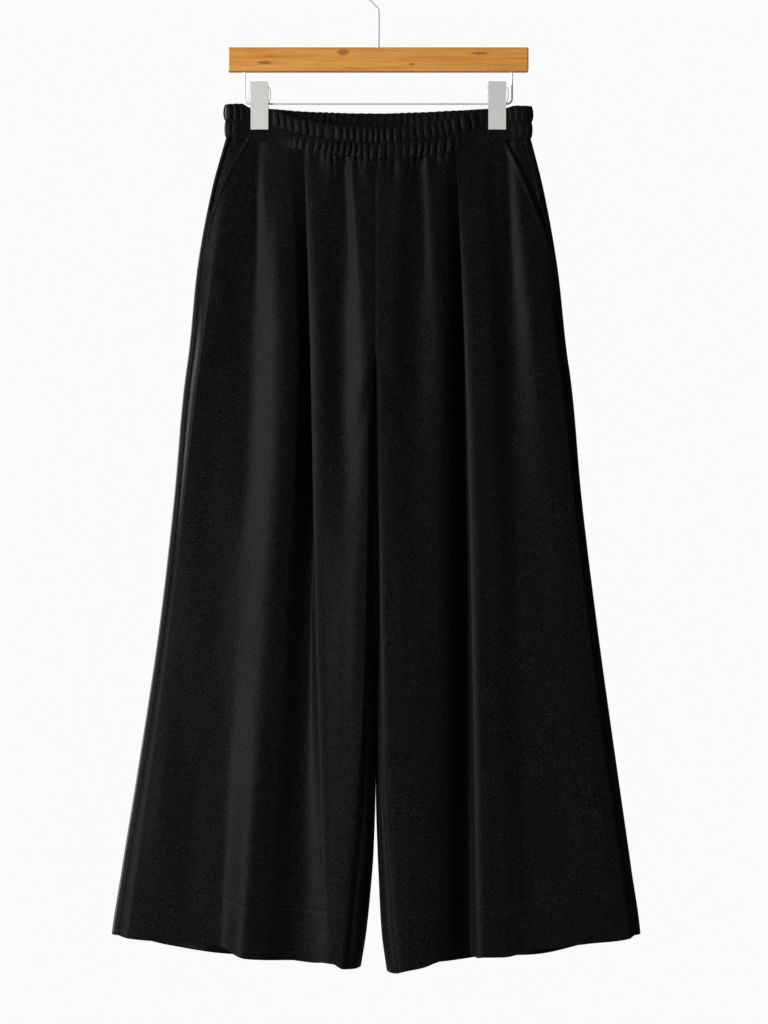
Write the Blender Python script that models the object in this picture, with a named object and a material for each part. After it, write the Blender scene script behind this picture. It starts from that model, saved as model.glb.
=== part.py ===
"""Black palazzo trousers hanging from a wooden bar hanger with two sprung clips.

The wide legs are cut from four panels, gathered and pleated into a waistband that is
ruched on two rows of elastic. Each panel is a wall of cloth through rows of points:
a row runs across the panel at one height, through the folds listed in its table.

Frame: +Z up, front towards -Y, origin at the inside top of the hook. The wearer's
right leg is at -X. A "drop" is a distance below the origin. The tables are in
millimetres, in the order of their named columns, and everything else is in metres.
"""
import math
from collections import namedtuple

import bmesh
import bpy
import numpy as np

MM = 0.001
SEAM_GAP = 0.3 * MM              # air between two pieces that meet

# Driving sizes of the cloth
CLOTH = 1.6 * MM                 # wall of a leg panel
BAND_WALL = 2.4 * MM             # waistband with its elastic, where it is pressed flat
RUCHE_HEIGHT = 2.0 * MM          # how far the gathers of the waistband stand up
CENTRE_SEAM = -3.3 * MM          # x of the centre front and centre back seams
CROTCH_DROP = 465.0 * MM
KNEE_DROP = 759.0 * MM

# Driving sizes of the hanger
BAR_SIZE = (350 * MM, 12 * MM, 28 * MM)
BAR_TOP_DROP = 92 * MM
BAR_EDGE = 1.5 * MM
HOOK_WIRE = 3.0 * MM
HOOK_RADIUS = 20 * MM            # of the wire's centre line
HOOK_BEND = 5 * MM               # radius of the bend between the shank and the turn
RAIL_WIRE = 2.2 * MM
RAIL_HALF_WIDTH = 156 * MM
RAIL_DROP = 157.2 * MM
RAIL_CORNER = 6 * MM
SOCKET_DEPTH = 10 * MM           # how far the wires go into the bar
CLIP_X = 138.5 * MM              # centre of each clip, left and right
CLIP_WIDTH = 20.5 * MM
CLIP_SHEET = 1.0 * MM
CLIP_BOTTOM_DROP = 187.5 * MM
JAW_DROP = RAIL_DROP + 12 * MM   # where the clip's plates become parallel
LUG_SHEET = 1.0 * MM             # the tabs that hold each plate on the rail
LUG_REACH = 5.5 * MM
LUG_HALF_HEIGHT = 3.2 * MM
LUG_CORNERS = 12
LUG_X = {"front": 3.4 * MM, "back": 5.0 * MM}
SPRING_WIRE = 0.9 * MM
SPRING_START = 6.1 * MM          # from the clip's middle to the first turn
SPRING_PITCH = 1.15 * SPRING_WIRE
SPRING_TURNS = 2.5
SPRING_STEPS = 8                 # points in a turn

PlatePoint = namedtuple("PlatePoint", "distance drop")
# The inner face of a clip plate above its jaw, by its distance from the middle plane.
CLIP_HANDLE = [
    PlatePoint(9.5, 132.5), PlatePoint(7.6, 144.5), PlatePoint(5.0, 157.2),
    PlatePoint(3.35, 164.2),
]

Section = namedtuple("Section", "drop right_side left_side right_inner left_inner "
                     "right_wrap left_wrap right_roll left_roll")
# side: outline of the leg; inner: edge towards the other leg. wrap and roll: how far the
# back panel comes round to the front at the side and at the inner edge.
SECTIONS = [
    Section(196, -177, 177, -3.3, -3.3, 3, 7, 0, 0),
    Section(258, -194, 192.5, -3.3, -3.3, 2.6, 7, 0, 0),
    Section(351, -211, 209, -3.3, -3.3, 4, 4, 0, 0),
    Section(464, -223, 222, -3.3, -3.3, 6, 5, 0, 0),
    Section(465, -223.2, 222.2, -4.4, -2.2, 6, 5, 2, 2),
    Section(619, -238, 237, -4.3, -2.1, 6, 6, 4, 4),
    Section(759, -254, 254, -4.0, -1.8, 6, 6, 9, 6),
    Section(946, -282, 280, -5.2, 0.6, 7, 7, 14, 8),
    Section(1051, -299, 295, -8.8, 2.8, 7, 7, 18, 12),
    Section(1121, -310, 305, -14.5, 5.2, 8, 8, 18, 13),
    Section(1168, -315, 308, -21.0, 9.8, 8, 8, 16, 13),
]

SeamLine = namedtuple("SeamLine", "x front_top front_stitch front_bottom back_top back_bottom")
# Drops of the waistband's edges and of the stitching between its two tiers.
BAND_LINES = [
    SeamLine(-177, 158.0, 177.0, 195.8, 158.0, 195.8),
    SeamLine(-160, 157.4, 177.2, 197.2, 157.4, 197.2),
    SeamLine(-148.5, 162.2, 178.5, 198.8, 162.2, 198.4),
    SeamLine(-127, 163.4, 182.4, 203.2, 162.8, 201.5),
    SeamLine(-91, 174.8, 193.5, 212.2, 165.5, 204.6),
    SeamLine(-45, 183.2, 201.2, 218.6, 167.0, 206.0),
    SeamLine(0, 186.0, 204.2, 224.0, 167.4, 206.4),
    SeamLine(48, 182.5, 201.5, 221.0, 166.4, 205.4),
    SeamLine(91, 172.5, 194.0, 214.0, 164.5, 203.6),
    SeamLine(127, 164.3, 184.2, 205.0, 162.8, 201.2),
    SeamLine(148.5, 162.4, 179.4, 200.0, 162.2, 199.0),
    SeamLine(160, 159.6, 178.0, 198.6, 159.6, 198.6),
    SeamLine(177, 159.8, 177.4, 197.4, 159.8, 197.4),
]

Fold = namedtuple("Fold", "name x_waist x_crotch x_knee x_hem relief "
                  "y_crotch y_knee y_hem hem_drop sharp columns")
# A fold runs from the waist seam to the hem. relief: how far it lies behind the waistband
# at the seam; hem_drop: where it ends; sharp: 1 on a pressed edge; columns: the number of
# strips of wall between the fold before it and this one.
FRONT_RIGHT = [
    Fold("hip swell", -166, -196, -225, -265, 0.0, -13, -19, -25, 1128, 0, 2),
    Fold("pocket valley", -152, -163, -192, -219, -0.2, -8, -20, -27, 1132, 0, 2),
    Fold("thigh ridge", -138, -137, -144, -171, -0.6, -23, -33, -42, 1143, 0, 2),
    Fold("pleat shoulder", -109, -109, -118, -141, -0.6, -20, -30, -38, 1150, 0, 2),
    Fold("pleat valley", -89.5, -83, -83, -78.5, 2.0, 1, 3, 0, 1153, 0, 3),
    Fold("pleat edge", -86, -78, -70, -60.5, -1.6, -24, -28, -32, 1155, 1, 2),
    Fold("front valley", -47, -54, -54, -56, 1.0, -15, -28, -34, 1160, 0, 7),
    Fold("front ridge", -33, -27, -38, -47, -1.0, -23, -30, -34, 1161, 0, 3),
]
FRONT_LEFT = [
    Fold("centre ridge", 9, 9, 18, 31, -1.0, -20, -28, -31, 1165, 0, 3),
    Fold("centre valley", 38, 35, 36, 39, 1.0, -13, -27, -34, 1164, 0, 6),
    Fold("belly ridge", 56, 64, 53, 47, -1.0, -22, -31, -35, 1163, 0, 4),
    Fold("pleat shoulder", 78, 79, 69, 57, -1.0, -19, -28, -33, 1158, 0, 3),
    Fold("pleat valley", 88.5, 95, 92, 82, 2.0, 1, 3, 0, 1153, 0, 3),
    Fold("pleat edge", 92.5, 103, 112, 117, -1.6, -25, -30, -36, 1148, 1, 2),
    Fold("pleat plateau", 111, 120, 129, 139, -0.6, -23, -28, -32, 1148, 0, 2),
    Fold("pocket valley", 142, 148, 163, 174, -0.2, -12, -19, -21, 1141, 0, 2),
    Fold("thigh ridge", 156, 174, 214, 239, -0.4, -16, -23, -28, 1130, 0, 2),
]
BACK_RIGHT = [
    Fold("side ridge", -160, -192, -214, -250, 0.3, 12, 18, 26, 1139, 0, 2),
    Fold("side valley", -135, -152, -170, -196, -0.4, 7, 10, 14, 1144, 0, 3),
    Fold("seat ridge", -98, -104, -106, -128, 1.0, 20, 27, 35, 1155, 0, 4),
    Fold("seat valley", -62, -66, -68, -76, -1.0, 12, 16, 17, 1158, 0, 4),
    Fold("inner ridge", -32, -32, -38, -52, 1.0, 19, 25, 31, 1161, 0, 4),
]
BACK_LEFT = [
    Fold("inner ridge", 26, 28, 36, 40, 1.0, 19, 25, 31, 1163, 0, 4),
    Fold("seat valley", 58, 62, 66, 72, -1.0, 13, 16, 18, 1158, 0, 4),
    Fold("seat ridge", 94, 100, 104, 126, 1.0, 20, 27, 35, 1152, 0, 4),
    Fold("side valley", 132, 148, 166, 190, -0.4, 7, 11, 15, 1144, 0, 4),
    Fold("side ridge", 158, 190, 212, 246, 0.3, 12, 18, 26, 1137, 0, 3),
]

SeamDepth = namedtuple("SeamDepth", "waist crotch knee hem hem_drop")
# y of the front layer at the side seams and at the inner seams; the back mirrors it.
SIDE_DEPTH = SeamDepth(-3.0, -6, -8, -12, 1123)
INNER_DEPTH = {"right": SeamDepth(-13.4, -14, -17, -19, 1162),
               "left": SeamDepth(-13.4, -14, -17, -19, 1167)}

Gather = namedtuple("Gather", "x height width length")
# Small gathers that start at the waist seam and fade below it.
FRONT_GATHERS = [
    Gather(-74, -2.0, 4.5, 70), Gather(-61, 2.4, 5.0, 80), Gather(-22, 1.6, 4.0, 50),
    Gather(-12, -1.6, 4.0, 60), Gather(22, 2.2, 5.0, 70), Gather(46, -1.6, 4.5, 60),
    Gather(68, 1.6, 4.5, 70),
]
BACK_GATHERS = [
    Gather(-118, 1.6, 6, 60), Gather(-82, -1.8, 6, 80), Gather(-46, 1.8, 6, 70),
    Gather(-18, -1.6, 6, 60), Gather(14, -1.8, 6, 70), Gather(42, 1.8, 6, 80),
    Gather(76, -1.6, 6, 60), Gather(112, 1.6, 6, 70),
]

# Rows of points down a panel: 0 is the waist seam, 1 the crotch, 2 the knee, 3 the hem.
STATIONS = (0, 0.04, 0.12, 0.26, 0.40, 0.54, 0.72, 0.90, 0.96, 1, 1.25, 1.6, 2, 2.42, 2.83, 3)
# How far the back panel has come under the crotch from the back to the front.
CROTCH_TURN = {0.96: 0.5}
CROTCH_LEAD = 12 * MM            # flat cloth beside the back seam that then turns under
CROTCH_ROLL = 2 * MM             # radius of the turn there
CROTCH_CLEARANCE = 1.1 * MM      # from the centre plane to the middle of each turned wall
WRAP_LEAD = 0.5 * MM
WRAP_COLUMNS = 5
LAST_BACK_COLUMNS = 3            # strips after the last fold of a back panel
LAST_FRONT_COLUMNS = {"right": 4, "left": 2}
OUTWARD = {"right": -1, "left": 1}

Pocket = namedtuple("Pocket", "top_x end_drop bow")
# The slant pocket's edge runs from the waist seam to the side seam, bowed outwards.
POCKETS = {"right": Pocket(-154, 340, 1.75), "left": Pocket(150, 338, 1.25)}
FACING_UNDERLAP = 11 * MM        # of the hip piece behind the pocket's edge
FACING_SETBACK = 2.4 * MM        # from the panel's middle to the hip piece's
SIDE_SEWN = 0.40                 # station from which the front's outer edge meets the back
FACING_END = 0.53                # station of the hip piece's lower edge
FACING_COLUMNS = 6

# The waistband's path seen from above
BAND_END = 177 * MM
BAND_END_RADIUS = 5 * MM
BAND_OPENING = 10 * MM           # how far the front bows forwards between the clips
BACK_OPENING = 5 * MM
BAND_END_OPENING = 1.9 * MM
LAYERS = {"front": (-1, BAND_OPENING), "back": (1, BACK_OPENING)}
BAND_FOOT = 0.9 * MM             # how far its lower edge opens below the clips' pinch
BAND_COLUMNS = 152
BAND_INNER_COLUMNS = 76
BandRow = namedtuple("BandRow", "height puff ruche tier")
# height: from the top edge (0) past the stitching (1) to the bottom edge (2)
BAND_ROWS = [
    BandRow(0.0, 0.1, 0.6, 0), BandRow(0.22, 0.7, 1.0, 0), BandRow(0.70, 0.6, 1.0, 0),
    BandRow(1.0, -0.2, 0.3, 0), BandRow(1.30, 0.6, 1.0, 1), BandRow(1.80, 0.5, 1.0, 1),
    BandRow(2.0, 0.0, 0.6, 1),
]
UPPER_WAVE = 8.5 * MM            # spacing of the gathers in each tier
LOWER_WAVE = 8.1 * MM
CLIPPED_RUCHE = 0.15             # share of the gathers' height that stays under a clip
SMOOTH_RUCHE = 0.25              # and at the sides of the lower tier
RUCHED_MIDDLE = -4 * MM          # x of the middle of the lower tier's gathers
RUCHED_HALF_WIDTH = 96 * MM


# ---------------------------------------------------------------- curves

def knot_slopes(x, y):
    """Slopes at the points of a smooth curve that never overshoots them."""
    step = np.diff(x)
    secant = np.diff(y) / step
    slope = np.zeros(len(x))
    slope[0], slope[-1] = secant[0], secant[-1]
    for i in range(1, len(x) - 1):
        if secant[i - 1] * secant[i] > 0:
            before = 2 * step[i] + step[i - 1]
            after = step[i] + 2 * step[i - 1]
            slope[i] = (before + after) / (before / secant[i - 1] + after / secant[i])
    return slope, secant


def curve_through(x, y, sharp=None):
    """A smooth function through points; a sharp point keeps a crease."""
    x, y = np.array(x, float), np.array(y, float)
    slope, secant = knot_slopes(x, y)
    arriving, leaving = slope.copy(), slope.copy()
    for i in range(1, len(x) - 1):
        if sharp is not None and sharp[i]:
            arriving[i], leaving[i] = secant[i - 1], secant[i]

    def value(at):
        at = np.clip(at, x[0], x[-1])
        i = np.clip(np.searchsorted(x, at, side="right") - 1, 0, len(x) - 2)
        width = x[i + 1] - x[i]
        t = (at - x[i]) / width
        return (y[i] * (1 + 2 * t) * (1 - t) ** 2 + y[i + 1] * t * t * (3 - 2 * t)
                + width * (leaving[i] * t * (1 - t) ** 2 - arriving[i + 1] * t * t * (1 - t)))
    return value


def table_curve(rows, key, value):
    """A smooth function of one column of a table against another, in metres."""
    return curve_through([getattr(row, key) * MM for row in rows],
                         [getattr(row, value) * MM for row in rows])


SECTION_CURVES = {name: table_curve(SECTIONS, "drop", name) for name in Section._fields[1:]}
BAND_CURVES = {name: table_curve(BAND_LINES, "x", name) for name in SeamLine._fields[1:]}


def bump(at, centre, width):
    return np.exp(-((at - centre) / width) ** 2)


def resample(points, count):
    """The same path with points at even steps along it."""
    points = np.array(points)
    along = np.r_[0, np.cumsum(np.linalg.norm(np.diff(points, axis=0), axis=1))]
    steps = np.linspace(0, along[-1], count)
    return np.column_stack([np.interp(steps, along, points[:, i]) for i in range(points.shape[1])])


# ---------------------------------------------------------------- meshes and materials

def material(name, colour, roughness, metallic=0.0):
    made = bpy.data.materials.new(name)
    made.use_nodes = True
    shader = made.node_tree.nodes["Principled BSDF"]
    shader.inputs["Base Color"].default_value = (*colour, 1)
    shader.inputs["Roughness"].default_value = roughness
    shader.inputs["Metallic"].default_value = metallic
    return made


def black_cloth(name):
    return material(name + "_crepe", (0.012, 0.012, 0.013), 0.9)


def steel(name):
    return material(name + "_steel", (0.62, 0.60, 0.57), 0.35, 1.0)


def mesh_object(name, vertices, faces, surface, smooth_angle=40):
    mesh = bpy.data.meshes.new(name)
    mesh.from_pydata([tuple(v) for v in vertices], [], faces)
    shape = bmesh.new()
    shape.from_mesh(mesh)
    bmesh.ops.recalc_face_normals(shape, faces=shape.faces)
    if shape.calc_volume(signed=True) < 0:
        bmesh.ops.reverse_faces(shape, faces=shape.faces)
    shape.to_mesh(mesh)
    shape.free()
    mesh.shade_smooth()
    mesh.set_sharp_from_angle(angle=math.radians(smooth_angle))
    made = bpy.data.objects.new(name, mesh)
    made.data.materials.append(surface)
    bpy.context.scene.collection.objects.link(made)
    return made


def grid_normals(grid):
    """Unit normals of a grid of points, on the side of (across) x (down)."""
    across = np.gradient(grid, axis=1)
    down = np.gradient(grid, axis=0)
    normal = np.cross(across, down)
    return normal / np.linalg.norm(normal, axis=2, keepdims=True)


def strip_faces(first, second, reverse=False):
    """Triangles between two rows of vertex numbers that may differ in count."""
    faces = []
    i = j = 0
    while i < len(first) - 1 or j < len(second) - 1:
        next_first = (i + 1) / (len(first) - 1)
        next_second = (j + 1) / (len(second) - 1)
        if j == len(second) - 1 or (i < len(first) - 1 and next_first <= next_second):
            faces.append((first[i], first[i + 1], second[j]))
            i += 1
        else:
            faces.append((first[i], second[j + 1], second[j]))
            j += 1
    return [face[::-1] for face in faces] if reverse else faces


def grid_faces(numbers):
    return [(numbers[r, c], numbers[r, c + 1], numbers[r + 1, c + 1], numbers[r + 1, c])
            for r in range(numbers.shape[0] - 1) for c in range(numbers.shape[1] - 1)]


def wall(name, outer, inner, surface):
    """A closed wall between two grids of points, which may differ in their columns."""
    outer_numbers = np.arange(outer.shape[0] * outer.shape[1]).reshape(outer.shape[:2])
    inner_numbers = (np.arange(inner.shape[0] * inner.shape[1]).reshape(inner.shape[:2])
                     + outer_numbers.size)
    faces = grid_faces(outer_numbers) + grid_faces(inner_numbers[:, ::-1])
    faces += strip_faces(outer_numbers[0], inner_numbers[0])
    faces += strip_faces(outer_numbers[-1], inner_numbers[-1], reverse=True)
    faces += strip_faces(outer_numbers[:, 0], inner_numbers[:, 0], reverse=True)
    faces += strip_faces(outer_numbers[:, -1], inner_numbers[:, -1])
    vertices = np.vstack([outer.reshape(-1, 3), inner.reshape(-1, 3)])
    return mesh_object(name, vertices, faces, surface)


def cloth_wall(name, grid, normals, thickness):
    """A wall of even thickness about a grid of points."""
    return wall(name, grid + normals * thickness / 2, grid - normals * thickness / 2,
                black_cloth(name))


# ---------------------------------------------------------------- waistband

def clip_openness(x):
    """0 where a clip pinches the two layers together, 1 away from the clips."""
    return np.prod([1 - np.exp(-(np.maximum(np.abs(x - clip) - 12 * MM, 0) / (16 * MM)) ** 2)
                    for clip in (-CLIP_X, CLIP_X)], axis=0)


def band_depth(x, opening, height=2.0):
    """Distance from the middle plane to the middle of the waistband's wall."""
    foot = BAND_FOOT * np.clip(height - 1, 0, 1)
    between = np.clip((CLIP_X - np.abs(x)) / CLIP_X, 0, 1)
    bow = opening * np.sin(np.pi / 2 * between) ** 1.5
    end = BAND_END_OPENING * np.clip((np.abs(x) - CLIP_X - 10 * MM) / (16 * MM), 0, 1)
    return SEAM_GAP / 2 + BAND_WALL / 2 + clip_openness(x) * bow + np.maximum(end, foot)


def band_path(columns, opening, direction, height):
    """Points (x, y) and outward directions from one side seam to the other."""
    x = np.linspace(-BAND_END + BAND_END_RADIUS, BAND_END - BAND_END_RADIUS, columns * 2)
    y = band_depth(x, opening, height)
    turn = np.linspace(0, np.pi / 2, 9)[:-1]
    end_depth = y[0] - SEAM_GAP / 2
    round_x = BAND_END - BAND_END_RADIUS * (1 - np.cos(turn))
    round_y = SEAM_GAP / 2 + end_depth * np.sin(turn)
    path = resample(np.column_stack([np.r_[-round_x, x, round_x[::-1]],
                                     np.r_[round_y, y, round_y[::-1]]]), columns)
    tangent = np.gradient(path, axis=0)
    outward = np.column_stack([-tangent[:, 1], tangent[:, 0]])
    outward /= np.linalg.norm(outward, axis=1, keepdims=True)
    outward[0], outward[-1] = (-1, 0), (1, 0)
    return path * (1, direction), outward * (1, direction)


def ruche(x, wave, share):
    """Height of the gathers, from 0 to 1, uneven along the elastic."""
    phase = x / wave + 0.35 * np.sin(x / (31 * MM)) + 0.2 * np.sin(x / (13 * MM) + 1)
    tall = 0.75 + 0.25 * np.sin(x / (19 * MM) + 2)
    return share * tall * (0.5 + 0.5 * np.cos(2 * np.pi * phase))


def ruche_share(x, tier):
    """Gathers are pressed flat at the clips, and the lower tier is smooth at the sides."""
    share = CLIPPED_RUCHE + (1 - CLIPPED_RUCHE) * clip_openness(x)
    if tier:
        gathered = np.abs(x - RUCHED_MIDDLE) < RUCHED_HALF_WIDTH
        share = share * np.where(gathered, 1, SMOOTH_RUCHE)
    return share


def band_drop(face, height, x):
    """Drop of a point of the waistband at a height from 0 to 2."""
    top = BAND_CURVES[face + "_top"](x)
    bottom = BAND_CURVES[face + "_bottom"](x)
    stitch = BAND_CURVES["front_stitch"](x) if face == "front" else (top + bottom) / 2
    if height <= 1:
        return top + (stitch - top) * height
    return stitch + (bottom - stitch) * (height - 1)


def band_grid(face, columns, offset_of_row):
    direction, opening = LAYERS[face]
    rows = []
    for row in offset_of_row:
        path, outward = band_path(columns, opening, direction, row.height)
        x = path[:, 0]
        offset = offset_of_row[row](x)
        points = path + outward * offset[:, None]
        drop = band_drop(face, row.height, np.clip(x, -BAND_END, BAND_END))
        rows.append(np.column_stack([points, -drop]))
    return np.array(rows)


def make_waistband(face):
    """A casing for two elastics: ruched outside, plain inside."""
    def outer_offset(row):
        wave = LOWER_WAVE if row.tier else UPPER_WAVE
        return lambda x: (BAND_WALL / 2 + row.puff * MM * clip_openness(x)
                          + RUCHE_HEIGHT * row.ruche * ruche(x, wave, ruche_share(x, row.tier)))
    outer = band_grid(face, BAND_COLUMNS, {row: outer_offset(row) for row in BAND_ROWS})
    inner_rows = [BandRow(0.0, 0, 0, 0), BandRow(1.0, 0, 0, 0), BandRow(2.0, 0, 0, 1)]
    inner = band_grid(face, BAND_INNER_COLUMNS,
                      {row: lambda x: np.full(len(x), -BAND_WALL / 2) for row in inner_rows})
    wall("waistband_" + face, outer, inner, black_cloth("waistband_" + face))


# ---------------------------------------------------------------- leg panels

def station_drop(station, top, hem):
    """Drop of a row's point on a line that runs from the waist seam to the hem."""
    return np.interp(station, (0, 1, 2, 3), (top, CROTCH_DROP, KNEE_DROP, hem))


def fold_point(fold, face, station):
    """x, y and drop where a fold crosses a row."""
    direction, opening = LAYERS[face]
    x_waist = fold.x_waist * MM
    top = BAND_CURVES[face + "_bottom"](x_waist) + SEAM_GAP
    y_waist = direction * band_depth(x_waist, opening) + fold.relief * MM
    levels = (top, CROTCH_DROP, KNEE_DROP, fold.hem_drop * MM)
    drop = station_drop(station, top, fold.hem_drop * MM)
    x = curve_through(levels, (x_waist, fold.x_crotch * MM, fold.x_knee * MM, fold.x_hem * MM))
    y = curve_through(levels, (y_waist, fold.y_crotch * MM, fold.y_knee * MM, fold.y_hem * MM))
    return float(x(drop)), float(y(drop)), float(drop)


def leg_edge(side, where, station, drop):
    """x of the leg's outline, and how far the back panel comes round it to its seam."""
    if where == "side":
        return SECTION_CURVES[side + "_side"](drop), SECTION_CURVES[side + "_wrap"](drop)
    if station < 1:
        return CENTRE_SEAM, 0.0
    return SECTION_CURVES[side + "_inner"](drop), SECTION_CURVES[side + "_roll"](drop)


def seam_point(side, face, station, where):
    """x, y and drop of the panel's end at its side seam or its inner seam."""
    depth = SIDE_DEPTH if where == "side" else INNER_DEPTH[side]
    outward = OUTWARD[side]
    waist_edge, waist_round_by = leg_edge(side, where, 0, SECTIONS[0].drop * MM)
    x_waist = waist_edge - outward * waist_round_by
    opening = LAYERS[face][1]
    top = BAND_CURVES[face + "_bottom"](x_waist) + SEAM_GAP
    drop = station_drop(station, top, depth.hem_drop * MM)
    y_waist = depth.waist * MM if where == "side" else -band_depth(x_waist, opening)
    y = curve_through((top, CROTCH_DROP, KNEE_DROP, depth.hem_drop * MM),
                      (y_waist, depth.crotch * MM, depth.knee * MM, depth.hem * MM))(drop)
    edge, round_by = leg_edge(side, where, station, drop)
    x = edge - outward * round_by if where == "side" else edge + outward * round_by
    return float(x), float(y if face == "front" else -y), float(drop)


def gather_relief(gathers, x, below_seam, direction):
    total = np.zeros_like(x)
    for gather in gathers:
        fade = np.clip(1 - below_seam / (gather.length * MM), 0, 1) ** 2
        rise = np.clip(below_seam / (6 * MM), 0.5, 1)
        total += gather.height * MM * fade * rise * bump(x, gather.x * MM, gather.width * MM)
    return direction * total


def panel_row(side, face, station):
    """The knots of a row, in rising x, and functions of x for its y and drop."""
    folds = {("front", "right"): FRONT_RIGHT, ("front", "left"): FRONT_LEFT,
             ("back", "right"): BACK_RIGHT, ("back", "left"): BACK_LEFT}[face, side]
    low, high = ("side", "inner") if side == "right" else ("inner", "side")
    points = [seam_point(side, face, station, low)]
    points += [fold_point(fold, face, station) for fold in folds]
    points += [seam_point(side, face, station, high)]
    x, y, drop = np.array(points).T
    sharp = [0] + [fold.sharp for fold in folds] + [0]
    y_curve = curve_through(x, y, sharp)
    seam_line = BAND_CURVES[face + "_bottom"]
    drop_curve = curve_through(x, drop) if station else lambda at: seam_line(at) + SEAM_GAP
    gathers = FRONT_GATHERS if face == "front" else BACK_GATHERS

    def depth(at):
        below_seam = drop_curve(at) - seam_line(at)
        return y_curve(at) + gather_relief(gathers, at, below_seam, LAYERS[face][0])
    return x, depth, drop_curve


def pocket_edge(side, drop):
    """x of the slant pocket's edge."""
    pocket = POCKETS[side]
    start = BAND_CURVES["front_bottom"](pocket.top_x * MM)
    end = pocket.end_drop * MM
    side_x, round_by = leg_edge(side, "side", 0, end)
    end_x = side_x - OUTWARD[side] * round_by
    share = np.clip((drop - start) / (end - start), 0, 1)
    return pocket.top_x * MM + (end_x - pocket.top_x * MM) * (1 - (1 - share) ** pocket.bow)


def close_seams(grid, ends):
    """Draws the end columns back by half of the seam's gap."""
    for end, neighbour in ends:
        step = grid[:, neighbour] - grid[:, end]
        grid[:, end] += step / np.linalg.norm(step, axis=1, keepdims=True) * SEAM_GAP / 2
    return grid


def panel_normals(grid, direction, seam_columns, square_rows):
    """Outward normals, set square at the seams so that the walls meet without crossing."""
    normals = grid_normals(grid) * direction
    normals[0, :, 2] = 0
    normals[-1, :, 2] = 0
    for column in seam_columns:
        normals[square_rows, column] = (0, -1, 0)
    return normals / np.linalg.norm(normals, axis=2, keepdims=True)


def fold_columns(knots, folds, last):
    """x of the columns of a row: each fold has its own, and the strips between are even."""
    counts = [fold.columns for fold in folds] + [last]
    spans = [np.linspace(knots[i], knots[i + 1], count, endpoint=False)
             for i, count in enumerate(counts)]
    return np.r_[np.concatenate(spans), knots[-1]]


def slide_to_pocket(columns, knots, side, drop):
    """Moves the outer columns in, so that the panel ends at the pocket's edge."""
    outward = OUTWARD[side]
    edge = pocket_edge(side, drop)
    end, hold = (columns[0], knots[3]) if side == "right" else (columns[-1], knots[-4])
    if drop > POCKETS[side].end_drop * MM or edge * outward > end * outward:
        return columns
    near = columns * outward > hold * outward
    columns[near] = hold + (columns[near] - hold) * (edge - hold) / (end - hold)
    return columns


def make_front_panel(side):
    folds = FRONT_RIGHT if side == "right" else FRONT_LEFT
    outer_end, inner_end = (0, -1) if side == "right" else (-1, 0)
    rows = []
    for station in STATIONS:
        knots, depth, drop = panel_row(side, "front", station)
        columns = fold_columns(knots, folds, LAST_FRONT_COLUMNS[side])
        if station < 1:
            columns = slide_to_pocket(columns, knots, side, drop(columns[outer_end]))
        rows.append(np.column_stack([columns, depth(columns), -drop(columns)]))
    grid = close_seams(np.array(rows), ((0, 1), (-1, -2)))
    normals = panel_normals(grid, -1, (inner_end,), range(len(STATIONS)))
    sewn = [station >= SIDE_SEWN for station in STATIONS]
    normals[sewn, outer_end] = (0, -1, 0)
    cloth_wall("front_panel_" + side, grid, normals, CLOTH)


def wrap_round(edge, radius, inward, back_y, front_y, lead, share):
    """Points from the back face round an edge of the leg, up to its seam on the front."""
    turn = np.linspace(0, np.pi * share, 17)
    x = edge + inward * radius * (1 - np.sin(turn))
    y = (back_y + front_y) / 2 + (back_y - front_y) / 2 * np.cos(turn)
    path = np.column_stack([np.r_[x[0] + inward * lead, x], np.r_[back_y, y]])
    return resample(path, WRAP_COLUMNS + 1)


def back_wrap(side, where, station):
    """Points (x, y, drop) where a row of the back panel comes round an edge of the leg."""
    inward = -OUTWARD[side] if where == "side" else OUTWARD[side]
    front_y = seam_point(side, "front", station, where)[1]
    _, back_y, drop = seam_point(side, "back", station, where)
    edge, radius = leg_edge(side, where, station, drop)
    share, lead = 1, WRAP_LEAD
    if where == "inner" and station < 1:
        share = CROTCH_TURN.get(station, 0)
        lead = CROTCH_LEAD * (1 - share)
        if share:
            edge, radius = edge + inward * CROTCH_CLEARANCE, CROTCH_ROLL
    path = wrap_round(edge, radius, inward, back_y, front_y, lead, share)
    hem = (SIDE_DEPTH if where == "side" else INNER_DEPTH[side]).hem_drop * MM
    drops = [station_drop(station, BAND_CURVES["back_bottom"](x) + SEAM_GAP, hem)
             for x in path[:, 0]]
    return np.column_stack([path, drops])


def make_back_panel(side):
    folds = BACK_RIGHT if side == "right" else BACK_LEFT
    low, high = ("side", "inner") if side == "right" else ("inner", "side")
    rows = []
    for station in STATIONS:
        knots, depth, drop = panel_row(side, "back", station)
        low_wrap, high_wrap = back_wrap(side, low, station), back_wrap(side, high, station)
        knots[0], knots[-1] = low_wrap[0, 0], high_wrap[0, 0]
        columns = fold_columns(knots, folds, LAST_BACK_COLUMNS)
        face = np.column_stack([columns, depth(columns), drop(columns)])
        row = np.vstack([low_wrap[:0:-1], face, high_wrap[1:]])
        rows.append(row * (1, 1, -1))
    grid = close_seams(np.array(rows), ((0, 1), (-1, -2)))
    side_column, inner_column = (0, -1) if side == "right" else (-1, 0)
    normals = panel_normals(grid, 1, (side_column,), range(len(STATIONS)))
    for i, station in enumerate(STATIONS):
        if station >= 1:
            normals[i, inner_column] = (0, -1, 0)
        elif station not in CROTCH_TURN:
            normals[i, inner_column] = (0, 1, 0)
    cloth_wall("back_panel_" + side, grid, normals, CLOTH)


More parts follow.
